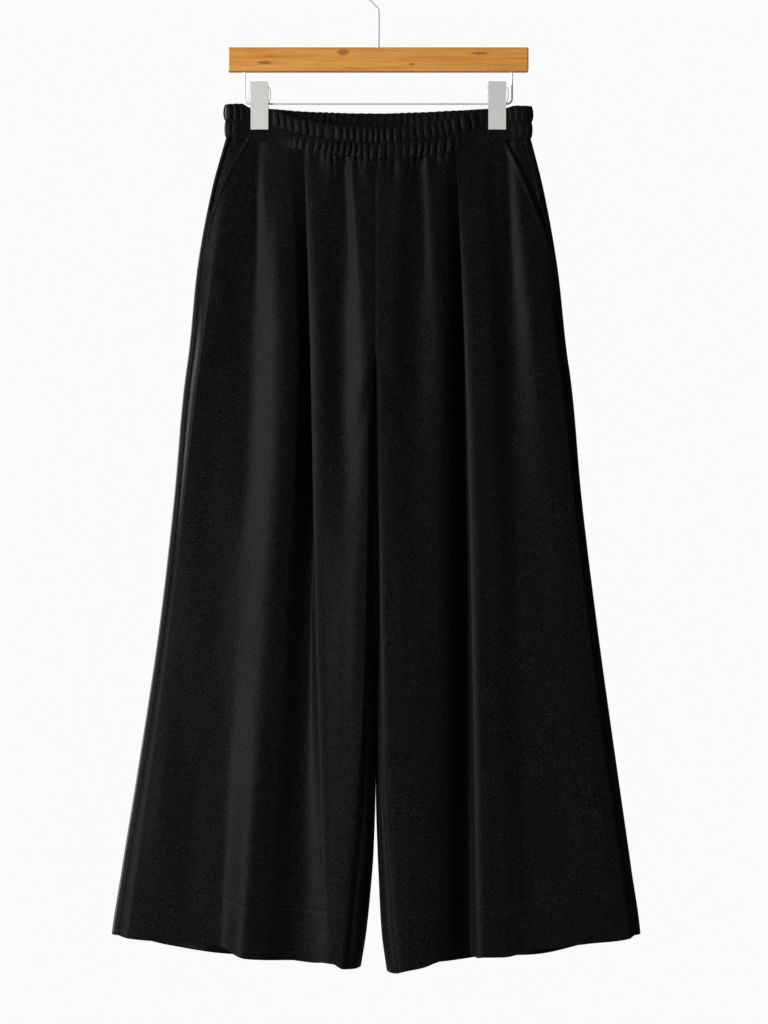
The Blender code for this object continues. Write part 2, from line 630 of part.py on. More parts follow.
def make_pocket_facing(side):
    """The hip piece: it follows the uncut front, set back behind the pocket's edge."""
    outward = OUTWARD[side]
    end = POCKETS[side].end_drop * MM
    rows = []
    stations = [station for station in STATIONS if station < FACING_END] + [FACING_END]
    for station in stations:
        knots, depth, drop = panel_row(side, "front", station)
        seam = knots[0] if side == "right" else knots[-1]
        seam_drop = float(drop(seam))
        inner = pocket_edge(side, seam_drop) - outward * FACING_UNDERLAP
        start = seam - outward * np.interp(seam_drop, (end - 90 * MM, end - 20 * MM), (0, 2 * MM))
        columns = np.linspace(start, inner, FACING_COLUMNS)
        rows.append(np.column_stack([columns, depth(columns), -drop(columns)]))
    grid = close_seams(np.array(rows), ((0, 1),))
    normals = panel_normals(grid, outward, (0,), range(len(stations)))
    setback = np.ones(grid.shape[:2])
    setback[:, 0] = np.interp(-grid[:, 0, 2], (end - 110 * MM, end - 50 * MM), (0, 1))
    grid -= normals * setback[:, :, None] * FACING_SETBACK
    cloth_wall("pocket_facing_" + side, grid, normals, CLOTH)


# ---------------------------------------------------------------- hanger

def wire(name, points, diameter, corners=2):
    """A round wire with filled ends through points."""
    curve = bpy.data.curves.new(name, "CURVE")
    curve.dimensions = "3D"
    curve.bevel_depth = diameter / 2
    curve.bevel_resolution = corners
    curve.use_fill_caps = True
    spline = curve.splines.new("POLY")
    spline.points.add(len(points) - 1)
    for spot, point in zip(spline.points, points):
        spot.co = (*point, 1)
    made = bpy.data.objects.new(name, curve)
    curve.materials.append(steel(name))
    bpy.context.scene.collection.objects.link(made)
    return made


def arc(centre, radius, start, end, count):
    """Points (x, z) of an arc, with its angles in degrees from +X towards +Z."""
    angles = np.radians(np.linspace(start, end, count))
    return [(centre[0] + radius * math.cos(a), 0, centre[1] + radius * math.sin(a))
            for a in angles]


def cylinder(name, radius, low, high, corners=12):
    """A plain upright cylinder between two points of one vertical line."""
    shape = bmesh.new()
    bmesh.ops.create_cone(shape, cap_ends=True, segments=corners, radius1=radius,
                          radius2=radius, depth=high[2] - low[2])
    mesh = bpy.data.meshes.new(name)
    shape.to_mesh(mesh)
    shape.free()
    made = bpy.data.objects.new(name, mesh)
    made.location = (low[0], low[1], (low[2] + high[2]) / 2)
    bpy.context.scene.collection.objects.link(made)
    return made


def boolean(target, tool, operation):
    cut = target.modifiers.new(operation.title(), "BOOLEAN")
    cut.object = tool
    cut.operation = operation
    cut.solver = "EXACT"
    tool.hide_render = True
    tool.display_type = "WIRE"


def make_bar():
    shape = bmesh.new()
    bmesh.ops.create_cube(shape, size=1)
    bmesh.ops.scale(shape, vec=BAR_SIZE, verts=shape.verts)
    bmesh.ops.bevel(shape, geom=shape.edges, offset=BAR_EDGE, segments=2, profile=0.5,
                    affect="EDGES")
    mesh = bpy.data.meshes.new("hanger_bar")
    shape.to_mesh(mesh)
    shape.free()
    mesh.shade_smooth()
    mesh.set_sharp_from_angle(angle=math.radians(30))
    mesh.materials.append(material("hanger_bar_wood", (0.55, 0.22, 0.06), 0.45))
    bar = bpy.data.objects.new("hanger_bar", mesh)
    top, bottom = -BAR_TOP_DROP, -BAR_TOP_DROP - BAR_SIZE[2]
    bar.location = (0, 0, (top + bottom) / 2)
    bpy.context.scene.collection.objects.link(bar)
    sockets = [("hook_socket", 0, HOOK_WIRE, top),
               ("rail_socket_right", -RAIL_HALF_WIDTH, RAIL_WIRE, bottom),
               ("rail_socket_left", RAIL_HALF_WIDTH, RAIL_WIRE, bottom)]
    for name, x, thickness, face in sockets:
        socket = cylinder(name, thickness / 2 + SEAM_GAP, (x, 0, face - SOCKET_DEPTH),
                          (x, 0, face + SOCKET_DEPTH))
        boolean(bar, socket, "DIFFERENCE")


def make_hook():
    """A straight shank, a bend and three quarters of a turn over the rail it hangs on."""
    centre = (0, HOOK_WIRE / 2 - HOOK_RADIUS)
    knee = centre[1] - HOOK_RADIUS * math.sqrt(2)
    tangent = HOOK_BEND * math.tan(math.radians(22.5))
    points = [(0, 0, -BAR_TOP_DROP - SOCKET_DEPTH + SEAM_GAP)]
    points += arc((-HOOK_BEND, knee - tangent), HOOK_BEND, 0, 45, 4)
    points += arc(centre, HOOK_RADIUS, 225, -35, 23)
    wire("hanger_hook", points, HOOK_WIRE)


def make_rail():
    top = -BAR_TOP_DROP - BAR_SIZE[2] + SOCKET_DEPTH - SEAM_GAP
    half, corner, level = RAIL_HALF_WIDTH, RAIL_CORNER, -RAIL_DROP + RAIL_CORNER
    points = [(-half, 0, top)]
    points += arc((-half + corner, level), corner, 180, 270, 5)
    points += arc((half - corner, level), corner, 270, 360, 5)
    points.append((half, 0, top))
    wire("clip_rail", points, RAIL_WIRE)


def clip_profile():
    """(distance from the middle plane, drop) down the inner face of a clip plate."""
    jaw = SEAM_GAP / 2 + BAND_WALL + RUCHE_HEIGHT * CLIPPED_RUCHE + SEAM_GAP
    return [(point.distance * MM, point.drop * MM) for point in CLIP_HANDLE] + [
        (jaw, JAW_DROP), (jaw, CLIP_BOTTOM_DROP)]


def lug_radius(angle):
    """From the rail's axis to a lug's edge: round behind the rail, square before it."""
    ahead, up = math.cos(angle), abs(math.sin(angle))
    if ahead <= 0:
        return LUG_HALF_HEIGHT
    return 1 / max(ahead / LUG_REACH, up / LUG_HALF_HEIGHT)


def make_lug(name, x, direction):
    """A tab from the plate to the rail, with the rail's hole in it."""
    angles = [2 * math.pi * i / LUG_CORNERS for i in range(LUG_CORNERS)]
    hole = [RAIL_WIRE / 2 + SEAM_GAP] * LUG_CORNERS
    edge = [lug_radius(angle) for angle in angles]
    rings = [(x - LUG_SHEET / 2, hole), (x - LUG_SHEET / 2, edge),
             (x + LUG_SHEET / 2, edge), (x + LUG_SHEET / 2, hole)]
    vertices = [(ring_x, direction * radius * math.cos(angle),
                 -RAIL_DROP + radius * math.sin(angle))
                for ring_x, radii in rings for radius, angle in zip(radii, angles)]
    faces = []
    for ring in range(len(rings)):
        for i in range(LUG_CORNERS):
            after = (i + 1) % LUG_CORNERS
            first, second = ring * LUG_CORNERS, (ring + 1) % len(rings) * LUG_CORNERS
            faces.append((first + i, first + after, second + after, second + i))
    return mesh_object(name, vertices, faces, steel(name))


def make_clip_plate(side, face):
    """A sprung plate: flared to be pinched at the top, straight at the jaw."""
    direction = LAYERS[face][0]
    centre = OUTWARD[side] * CLIP_X
    name = f"clip_{side}_{face}"
    inner = clip_profile()
    outer = [(depth + CLIP_SHEET, drop) for depth, drop in inner]
    outline = inner + outer[::-1]
    vertices = [(centre + edge * CLIP_WIDTH / 2, direction * depth, -drop)
                for edge in (-1, 1) for depth, drop in outline]
    count = len(outline)
    faces = [tuple(range(count)), tuple(range(2 * count - 1, count - 1, -1))]
    faces += [(i, (i + 1) % count, (i + 1) % count + count, i + count) for i in range(count)]
    plate = mesh_object(name, vertices, faces, steel(name))
    for edge, place in ((-1, "low"), (1, "high")):
        lug = make_lug(f"{name}_lug_{place}", centre + edge * LUG_X[face], direction)
        boolean(plate, lug, "UNION")


SpringPoint = namedtuple("SpringPoint", "reach depth drop")
# The free end of a spring: from the rail out past the plate's edge, up and back onto it.
SPRING_LOOP = [
    SpringPoint(10.6, 2.6, 157), SpringPoint(12.2, 3.4, 154), SpringPoint(12.9, 4.6, 150),
    SpringPoint(12.9, 5.6, 144), SpringPoint(12.4, 6.2, 140.5), SpringPoint(10.9, 6.4, 138.6),
    SpringPoint(9.2, 6.6, 138.2),
]


def make_clip_spring(side, edge):
    """A coil round the rail whose free end loops out beside the front plate."""
    centre = OUTWARD[side] * CLIP_X
    outward = OUTWARD[side] * (1 if edge == "outer" else -1)
    coil = RAIL_WIRE / 2 + SPRING_WIRE / 2 + SEAM_GAP
    points = []
    for i in range(int(SPRING_TURNS * SPRING_STEPS) + 1):
        turn = i / SPRING_STEPS
        x = centre + outward * (SPRING_START + turn * SPRING_PITCH)
        points.append((x, coil * math.cos(2 * math.pi * turn),
                       -RAIL_DROP + coil * math.sin(2 * math.pi * turn)))
    points += [(centre + outward * spot.reach * MM, -spot.depth * MM, -spot.drop * MM)
               for spot in SPRING_LOOP]
    wire(f"clip_{side}_spring_{edge}", points, SPRING_WIRE, 0)


def build():
    for old in list(bpy.data.objects):
        bpy.data.objects.remove(old)
    for face in ("front", "back"):
        make_waistband(face)
    for side in ("right", "left"):
        make_front_panel(side)
        make_back_panel(side)
        make_pocket_facing(side)
    make_bar()
    make_hook()
    make_rail()
    for side in ("right", "left"):
        for face in ("front", "back"):
            make_clip_plate(side, face)
        for edge in ("outer", "inner"):
            make_clip_spring(side, edge)


build()
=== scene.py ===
"""Looks of black palazzo trousers that hang from a wooden bar hanger with two clips.

Every cloth piece is drawn again as a thin shell, through the same rows and folds as its
solid, with the finer gathers, creases, seams and stitches of matte black crepe.

Frame: +Z up, front towards -Y, origin at the inside top of the hook. The wearer's right
leg is at -X. A "drop" is a distance below the origin. A "station" is a row's place down a
leg panel: 0 at the waist seam, 1 at the crotch, 2 at the knee and 3 at the hem. The tables
are in millimetres, in the order of their named columns, and all else is in metres.
"""

import math
from collections import namedtuple

import bpy
import numpy as np
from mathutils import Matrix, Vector


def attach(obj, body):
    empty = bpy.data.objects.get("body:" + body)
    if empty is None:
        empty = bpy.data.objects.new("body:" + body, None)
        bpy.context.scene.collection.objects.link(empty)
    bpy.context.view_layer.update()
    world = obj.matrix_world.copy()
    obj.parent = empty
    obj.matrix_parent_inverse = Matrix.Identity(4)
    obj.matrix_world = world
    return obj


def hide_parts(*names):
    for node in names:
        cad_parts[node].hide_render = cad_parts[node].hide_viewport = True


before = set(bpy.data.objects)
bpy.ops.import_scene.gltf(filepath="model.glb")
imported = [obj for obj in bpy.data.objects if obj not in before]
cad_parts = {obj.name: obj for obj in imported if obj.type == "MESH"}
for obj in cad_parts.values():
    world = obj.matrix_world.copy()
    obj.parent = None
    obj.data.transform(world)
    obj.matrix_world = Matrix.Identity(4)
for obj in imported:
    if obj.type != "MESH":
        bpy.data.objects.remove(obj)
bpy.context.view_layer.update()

MM = 0.001
SEAM_GAP = 0.3 * MM              # air between the two layers at a clip
SEAM_LAP = 1.5 * MM              # how far the panels reach up into the waistband
CLOTH = 0.9 * MM                 # the crepe
HEM_CLOTH = 1.7 * MM             # the crepe where the hem is turned up
BAND_WALL = 2.4 * MM             # waistband with its elastic, where it is pressed flat
CENTRE_SEAM = -3.3 * MM          # x of the centre front and centre back seams
WAIST_SEAM_DROP, HEM_DROP = 200 * MM, 1145 * MM      # means, for the number of rows
CROTCH_DROP, KNEE_DROP = 465 * MM, 759 * MM
CLIP_X = 138.5 * MM              # the middle of a clip


def table(kind, rows):
    """Rows of numbers with their columns named."""
    return [kind(*row) for row in rows]


Section = namedtuple("Section", "drop right_side left_side right_inner left_inner "
                     "right_wrap left_wrap right_roll left_roll")
# side: outline of the leg; inner: edge towards the other leg. wrap and roll: how far the
# back panel comes round to the front at the side and at the inner edge.
SECTIONS = table(Section, [
    (196, -177, 177, -3.3, -3.3, 3, 7, 0, 0),
    (258, -194, 192.5, -3.3, -3.3, 2.6, 7, 0, 0),
    (351, -211, 209, -3.3, -3.3, 4, 4, 0, 0),
    (464, -223, 222, -3.3, -3.3, 6, 5, 0, 0),
    (465, -223.2, 222.2, -3.3, -3.3, 6, 5, 2, 1.5),
    (619, -238, 237, -3.1, -3.1, 6, 6, 4, 3),
    (759, -254, 254, -3.0, -3.0, 6, 6, 8, 4.5),
    (946, -282, 280, -3.1, -3.1, 7, 7, 13, 8),
    (1038, -297, 293.2, -5.8, -0.6, 7, 7, 17, 11),
    (1051, -299, 295, -6.8, 0.0, 7, 7, 18, 12),
    (1121, -310, 305, -13.6, 3.6, 8, 8, 18, 13),
    (1168, -315, 308, -21.0, 9.8, 8, 8, 16, 13),
])
PARTED_DROP = SECTIONS[4].drop * MM        # the first section where the legs are apart

SeamLine = namedtuple("SeamLine", "x front_top front_stitch front_bottom back_top back_bottom")
# Drops of the waistband's edges and of the stitching between its two tiers.
BAND_LINES = table(SeamLine, [
    (-177, 158.0, 177.0, 195.8, 158.0, 195.8),
    (-160, 157.4, 177.2, 197.2, 157.4, 197.2),
    (-148.5, 162.2, 178.5, 198.8, 162.2, 198.4),
    (-127, 163.4, 182.4, 203.2, 162.8, 201.5),
    (-91, 174.8, 193.5, 212.2, 165.5, 204.6),
    (-45, 183.2, 201.2, 218.6, 167.0, 206.0),
    (0, 186.0, 204.2, 224.0, 167.4, 206.4),
    (48, 182.5, 201.5, 221.0, 166.4, 205.4),
    (91, 172.5, 194.0, 214.0, 164.5, 203.6),
    (127, 164.3, 184.2, 205.0, 162.8, 201.2),
    (148.5, 162.4, 179.4, 200.0, 162.2, 199.0),
    (160, 159.6, 178.0, 198.6, 159.6, 198.6),
    (177, 159.8, 177.4, 197.4, 159.8, 197.4),
])

Fold = namedtuple("Fold", "name x_waist x_crotch x_knee x_hem relief "
                  "y_crotch y_knee y_hem hem_drop sharp")
# A fold runs from the waist seam to the hem. relief: how far it lies behind the waistband
# at the seam; hem_drop: where it ends; sharp: above 0 on a pressed edge, how much steeper
# the cloth is right beside it than on the whole way to the next fold.
FOLDS = {
    ("front", "right"): table(Fold, [
        ("hip swell", -167, -207, -241, -290, 0.0, -16.5, -12.0, -18, 1128, 0),
        ("pocket valley", -140, -151, -167, -185, 0.6, -11.5, -18.5, -22, 1136, 0),
        ("thigh ridge", -123, -110, -124, -155, -0.8, -24, -31.5, -38.3, 1148, 0),
        ("pleat shoulder", -104, -94, -108, -134, 0.0, -20, -28, -35, 1150, 0),
        ("pleat valley", -89.5, -82, -83, -92, 2.4, 1, -14, -20, 1153, 0),
        ("pleat edge", -86, -78, -72, -60, -1.4, -22, -25, -28, 1155, 2),
        ("pleat crest", -76, -66, -60, -51, -1.8, -25, -27.2, -30.5, 1156, 0),
        ("front valley", -41, -43, -42, -46, 0.8, -19, -31.2, -31.4, 1159, 0),
        ("front ridge", -31, -13, -14.5, -42, -0.8, -29, -35, -32, 1161, 0),
    ]),
    ("front", "left"): table(Fold, [
        ("centre ridge", 26, 12, 10, 29, -0.8, -27.5, -26, -29, 1165, 0),
        ("centre valley", 48, 47, 48, 53, 0.8, -20, -25, -28, 1160, 0),
        ("belly ridge", 58, 70, 68, 67, -0.6, -22.5, -23, -25, 1155, 0),
        ("pleat shoulder", 78, 83, 81, 80, -0.2, -17, -18, -19, 1152, 0),
        ("pleat valley", 88, 98, 104, 108, 2.4, 1, 2, -2, 1149.5, 0),
        ("pleat edge", 91, 101.5, 108.5, 114.5, -1.4, -21, -24, -28, 1149, 2),
        ("pleat crest", 99, 111, 118, 123, -1.8, -23.5, -26.5, -30.5, 1148, 0),
        ("pleat plateau", 120, 128, 134, 144, -1.2, -23, -25.5, -29.5, 1148, 0),
        ("pocket valley", 147, 157, 165, 179, 0.8, -13, -20, -24, 1141, 0),
        ("thigh ridge", 158, 185, 213, 245, -0.6, -19.5, -22, -24, 1133, 0),
        ("hip swell", 165, 209, 242, 290, 0.0, -16.5, -20, -22, 1128, 0),
    ]),
    ("back", "right"): table(Fold, [
        ("side ridge", -160, -192, -214, -250, 0.3, 12, 18, 26, 1142, 0),
        ("side valley", -135, -152, -170, -196, -0.4, 7, 10, 14, 1149, 0),
        ("seat ridge", -98, -104, -106, -128, 1.0, 20, 27, 35, 1158, 0),
        ("seat valley", -62, -66, -68, -76, -1.0, 12, 16, 17, 1162, 0),
        ("inner ridge", -32, -32, -38, -52, 1.0, 19, 25, 31, 1164, 0),
    ]),
    ("back", "left"): table(Fold, [
        ("inner ridge", 26, 28, 36, 40, 1.0, 19, 25, 31, 1165, 0),
        ("seat valley", 58, 62, 66, 72, -1.0, 13, 16, 18, 1161, 0),
        ("seat ridge", 94, 100, 104, 126, 1.0, 20, 27, 35, 1157, 0),
        ("side valley", 132, 148, 166, 190, -0.4, 7, 11, 15, 1151, 0),
        ("side ridge", 158, 190, 212, 246, 0.3, 13, 19, 26, 1140, 0),
    ]),
}

SeamDepth = namedtuple("SeamDepth", "waist crotch knee hem hem_drop")
# y of the front layer at the side seams and at the inner seams; the back mirrors it.
SIDE_DEPTH = {"right": SeamDepth(-3.0, -6, -8, -12, 1125),
              "left": SeamDepth(-3.0, -11, -15, -18, 1124)}
INNER_DEPTH = {"right": SeamDepth(-13.4, -27, -30, -27.5, 1162),
               "left": SeamDepth(-13.4, -27, -24, -27.5, 1167)}

Gather = namedtuple("Gather", "x height width length")
# Gathers that start at the waist seam and fade below it.
GATHERS = {
    "front": table(Gather, [
        (-70, -1.8, 4.5, 70), (-57, 1.8, 4.5, 80), (-42, -1.7, 5.0, 90),
        (-31, 0.9, 4.0, 90), (-23, -1.6, 3.5, 50), (-13, 1.8, 4.5, 60),
        (18, -1.6, 4.0, 60), (27, 1.5, 5.0, 70), (45, -1.6, 5.0, 90),
        (57, 1.4, 5.0, 90), (67, -1.2, 4.0, 50), (78, 1.4, 4.0, 50),
    ]),
    "back": table(Gather, [
        (-118, 1.6, 6, 60), (-82, -1.8, 6, 80), (-46, 1.8, 6, 70),
        (-18, -1.6, 6, 60), (14, -1.8, 6, 70), (42, 1.8, 6, 80),
        (76, -1.6, 6, 60), (112, 1.6, 6, 70),
    ]),
}

Crease = namedtuple("Crease", "x drop end_x end_drop height width")
# Soft ridges (height above 0) and troughs (below 0) laid over the folds.
CREASES = {
    "front": table(Crease, [
        (-139, 150, -143, 400, -1.8, 5.5), (-39.5, 150, -31, 400, -1.7, 5.5),
        (50, 150, 55, 400, -1.5, 6.5), (149, 150, 158, 400, -1.5, 6),
        (-2, 452, -40, 520, 0.9, 7), (-2, 470, -26, 560, -0.9, 6),
        (2, 446, 44, 486, 1.0, 7), (4, 462, 36, 540, -0.9, 7),
        (6, 430, 60, 420, 0.6, 8),
        (-196, 345, -168, 420, 0.9, 8), (-188, 330, -150, 380, -0.7, 9),
        (196, 350, 172, 430, 0.8, 8), (186, 335, 160, 372, -0.6, 8),
        (-140, 214, -132, 300, 0.8, 6), (-121, 214, -124, 330, -0.8, 7),
        (120, 214, 126, 320, 0.7, 7), (134, 210, 137, 280, -0.6, 5),
        (-150, 620, -170, 860, 0.9, 14), (-188, 560, -214, 760, -0.9, 12),
        (-236, 820, -262, 1060, 0.8, 12), (-206, 900, -226, 1110, -0.8, 12),
        (-118, 700, -132, 930, -0.7, 10), (-24, 640, -30, 880, 0.7, 8),
        (24, 620, 28, 860, 0.7, 8), (62, 700, 58, 960, -0.7, 9),
        (138, 560, 150, 800, 0.7, 12), (182, 600, 204, 830, -0.8, 12),
        (236, 780, 262, 1040, 0.7, 12), (206, 880, 224, 1100, -0.7, 12),
        (146, 860, 158, 1110, 0.6, 10), (-92, 960, -98, 1120, 0.6, 7),
    ]),
    "back": table(Crease, [
        (-2, 440, -60, 520, 1.2, 8), (-2, 458, -44, 570, -1.1, 8),
        (2, 440, 58, 512, 1.1, 8), (2, 458, 40, 566, -1.1, 8),
        (-8, 400, -80, 430, 0.9, 9), (8, 396, 84, 424, 0.9, 9),
        (-150, 214, -140, 330, 0.8, 8), (148, 214, 140, 330, 0.8, 8),
        (-116, 560, -128, 800, 0.9, 12), (112, 580, 126, 830, 0.9, 12),
        (-194, 640, -222, 900, -0.9, 13), (190, 620, 216, 880, -0.9, 13),
        (-82, 760, -92, 1040, -0.8, 10), (84, 740, 90, 1020, -0.8, 10),
        (-238, 860, -268, 1090, 0.8, 12), (236, 840, 262, 1080, 0.8, 12),
        (-50, 640, -48, 900, 0.8, 9), (46, 640, 44, 900, 0.8, 9),
    ]),
}

# How far a pleat's valley lies under its edge, in millimetres, at stations down the panel
PLEAT_TUCK = {"right": ((0, 0.3, 1, 1.6, 2, 2.6), (6, 7, 8, 8, 4, 0)),
              "left": ((0, 0.3, 1, 1.4), (6, 6, 2, 0))}

HEM_STITCH = 2.85                # station of the stitches that hold the hem
HEM_STEP = 0.004                 # stations over which the turned-up hem begins
HEM_GROOVE, HEM_GROOVE_WIDTH = 0.35 * MM, 0.005      # depth, and width in stations
HEM_PITCH = 5.2 * MM             # from stitch to stitch
STITCH_LENGTH, STITCH_THICK, STITCH_SIDES = 2.6 * MM, 0.6 * MM, 6
STITCH_RINGS = ((-0.5, 0.35), (-0.3, 1), (0.3, 1), (0.5, 0.35))     # place along it, width
CROTCH_LEAD = 12 * MM            # flat cloth beside the back seam that then turns under
CROTCH_CLEARANCE = CLOTH / 2     # keeps the walls of the two legs side by side
CROTCH_STATIONS = (0.915, 0.93, 0.945)     # the turn under the crotch starts, is half done, ends
WRAP_LEAD = 0.5 * MM             # flat cloth before the back panel turns round an edge
SEAM_REACH = 2.4 * MM            # how far from a seam its stitches pull the cloth in
SEAM_SINK = 0.6 * MM             # and how deep
EDGE_CALM = 8 * MM               # the small creases fade out this near to a seam
PANEL_RIPPLE = 2.6 * MM          # height of the elastic's ripples below the waist seam
RIPPLE_LENGTH = 6 * MM           # how far the shortest ones run, and where gathers stand in full
SLACK_HEIGHT = 0.45 * MM         # height of the limp cloth's unevenness
SLACK_START = 60 * MM            # how far below the waist seam it has come up in full
OUTWARD = {"right": -1, "left": 1}
TO_FRONT, TO_BACK = (0, -1, 0), (0, 1, 0)     # set as normals at seams, so that the walls meet
ENDS = {"right": ("side", "inner"), "left": ("inner", "side")}     # of a row, in rising x

Pocket = namedtuple("Pocket", "top_x end_drop bow")
# The slant pocket's edge runs from the waist seam to the side seam, bowed outwards.
POCKETS = {"right": Pocket(-154, 340, 1.75), "left": Pocket(150, 338, 1.25)}
FACING_UNDERLAP = 11 * MM        # how far the hip piece runs on behind the pocket's edge
FACING_SETBACK = 2.4 * MM        # how far it lies behind the front panel
FACING_END = 0.53                # station of its lower end
FACING_ROWS, FACING_COLUMNS = 60, 26
POCKET_ROLL = 1.3 * MM           # how far the pocket's folded edge stands up
POCKET_ROLL_WIDTH = 2.6 * MM
POCKET_ROLL_FADE = 20 * MM       # over which it comes up from the pocket's lower end
POCKET_CLOSED = 0.45             # station from where the front panel lies on the side seam

# The waistband's path seen from above
BAND_END = 177 * MM
BAND_END_RADIUS = 5 * MM
LAYERS = {"front": (-1, 10 * MM), "back": (1, 5 * MM)}     # direction and opening of a layer
BAND_END_OPENING = 1.9 * MM
BAND_FOOT = 0.9 * MM

# Fineness of the shells
COLUMN, ROW = 2.0 * MM, 4.8 * MM
SEAM_COLUMNS = np.array([0.7, 1.5, 2.6, 4.2]) * MM       # extra columns beside a seam
SHARP_ANGLE = 50                 # degrees
WRAP_COLUMNS, WRAP_STEPS = 18, 25
BAND_COLUMNS, TIER_ROWS = 560, 13


# ---- curves

def knot_slopes(x, y):
    """Slopes at the points of a smooth curve that never overshoots them."""
    step = np.diff(x)
    secant = np.diff(y) / step
    slope = np.zeros(len(x))
    slope[0], slope[-1] = secant[0], secant[-1]
    for i in range(1, len(x) - 1):
        if secant[i - 1] * secant[i] > 0:
            before = 2 * step[i] + step[i - 1]
            after = step[i] + 2 * step[i - 1]
            slope[i] = (before + after) / (before / secant[i - 1] + after / secant[i])
    return slope, secant


def curve_through(x, y, sharp=None):
    """A smooth function through points; a sharp point keeps a crease."""
    x, y = np.array(x, float), np.array(y, float)
    slope, secant = knot_slopes(x, y)
    arriving, leaving = slope.copy(), slope.copy()
    for i in range(1, len(x) - 1):
        if sharp is not None and sharp[i]:
            arriving[i], leaving[i] = secant[i - 1] * sharp[i], secant[i] * sharp[i]

    def value(at):
        at = np.clip(at, x[0], x[-1])
        i = np.clip(np.searchsorted(x, at, side="right") - 1, 0, len(x) - 2)
        width = x[i + 1] - x[i]
        t = (at - x[i]) / width
        return (y[i] * (1 + 2 * t) * (1 - t) ** 2 + y[i + 1] * t * t * (3 - 2 * t)
                + width * (leaving[i] * t * (1 - t) ** 2 - arriving[i + 1] * t * t * (1 - t)))
    return value


def table_curve(rows, key, value):
    """A smooth function of one column of a table against another, in metres."""
    return curve_through([getattr(row, key) * MM for row in rows],
                         [getattr(row, value) * MM for row in rows])


SECTION_CURVES = {name: table_curve(SECTIONS, "drop", name) for name in Section._fields[1:]}
BAND_CURVES = {name: table_curve(BAND_LINES, "x", name) for name in SeamLine._fields[1:]}


def bump(at, centre, width):
    """1 at the centre, fading smoothly to 0 on both sides."""
    return np.exp(-((at - centre) / width) ** 2)


def resample(points, count):
    """The same path with points at even steps along it."""
    points = np.array(points)
    along = np.r_[0, np.cumsum(np.linalg.norm(np.diff(points, axis=0), axis=1))]
    steps = np.linspace(0, along[-1], count)
    return np.column_stack([np.interp(steps, along, points[:, i]) for i in range(points.shape[1])])


def slack(x, drop, seed):
    """Unevenness of limp cloth, from -1 to 1: long in the drop and short across."""
    x, drop = x / MM, drop / MM
    return (0.45 * np.sin(x / 9.1 + drop / 83 + seed) * np.sin(drop / 61 - x / 47 + 2 * seed)
            + 0.35 * np.sin(x / 15.7 - drop / 120 + 3 * seed + 1.3 * np.sin(drop / 90 + seed))
            + 0.20 * np.sin(x / 5.3 + drop / 37 + 5 * seed) * np.sin(drop / 29 + x / 21))


# ---- meshes

def mesh_object(name, vertices, faces, surface):
    """A smooth-shaded object whose sharper edges stay crisp."""
    mesh = bpy.data.meshes.new(name)
    mesh.from_pydata(np.asarray(vertices, float).tolist(), [], faces)
    mesh.validate()
    mesh.shade_smooth()
    mesh.set_sharp_from_angle(angle=math.radians(SHARP_ANGLE))
    mesh.materials.append(surface)
    made = bpy.data.objects.new(name, mesh)
    bpy.context.scene.collection.objects.link(made)
    return made


def grid_normals(grid):
    """Unit normals of a grid of points, on the side of (across) x (down)."""
    normal = np.cross(np.gradient(grid, axis=1), np.gradient(grid, axis=0))
    return normal / np.linalg.norm(normal, axis=2, keepdims=True)


def shell(name, outer, inner, flip=False):
    """A closed thin shell of crepe between two grids of the same size."""
    rows, columns = outer.shape[:2]
    front = np.arange(rows * columns).reshape(rows, columns)
    back = front + rows * columns

    def quads(first, second):
        return np.stack([first[:-1], first[1:], second[1:], second[:-1]], axis=-1).reshape(-1, 4)

    parts = [np.stack([n[:-1, :-1], n[:-1, 1:], n[1:, 1:], n[1:, :-1]], axis=-1).reshape(-1, 4)
             for n in (front, back[:, ::-1])]
    parts += [quads(front[0, ::-1], back[0, ::-1]), quads(front[-1], back[-1]),
              quads(front[:, 0], back[:, 0]), quads(front[::-1, -1], back[::-1, -1])]
    faces = np.concatenate(parts)
    if flip:
        faces = faces[:, ::-1]
    vertices = np.vstack([outer.reshape(-1, 3), inner.reshape(-1, 3)])
    return mesh_object(name, vertices, faces.tolist(), CREPE)


def ride(piece, *nodes):
    """Fixes a cloth piece in the one body, in place of the solids it stands for."""
    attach(piece, "root")
    if nodes:
        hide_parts(*nodes)
    return piece


# ---- materials

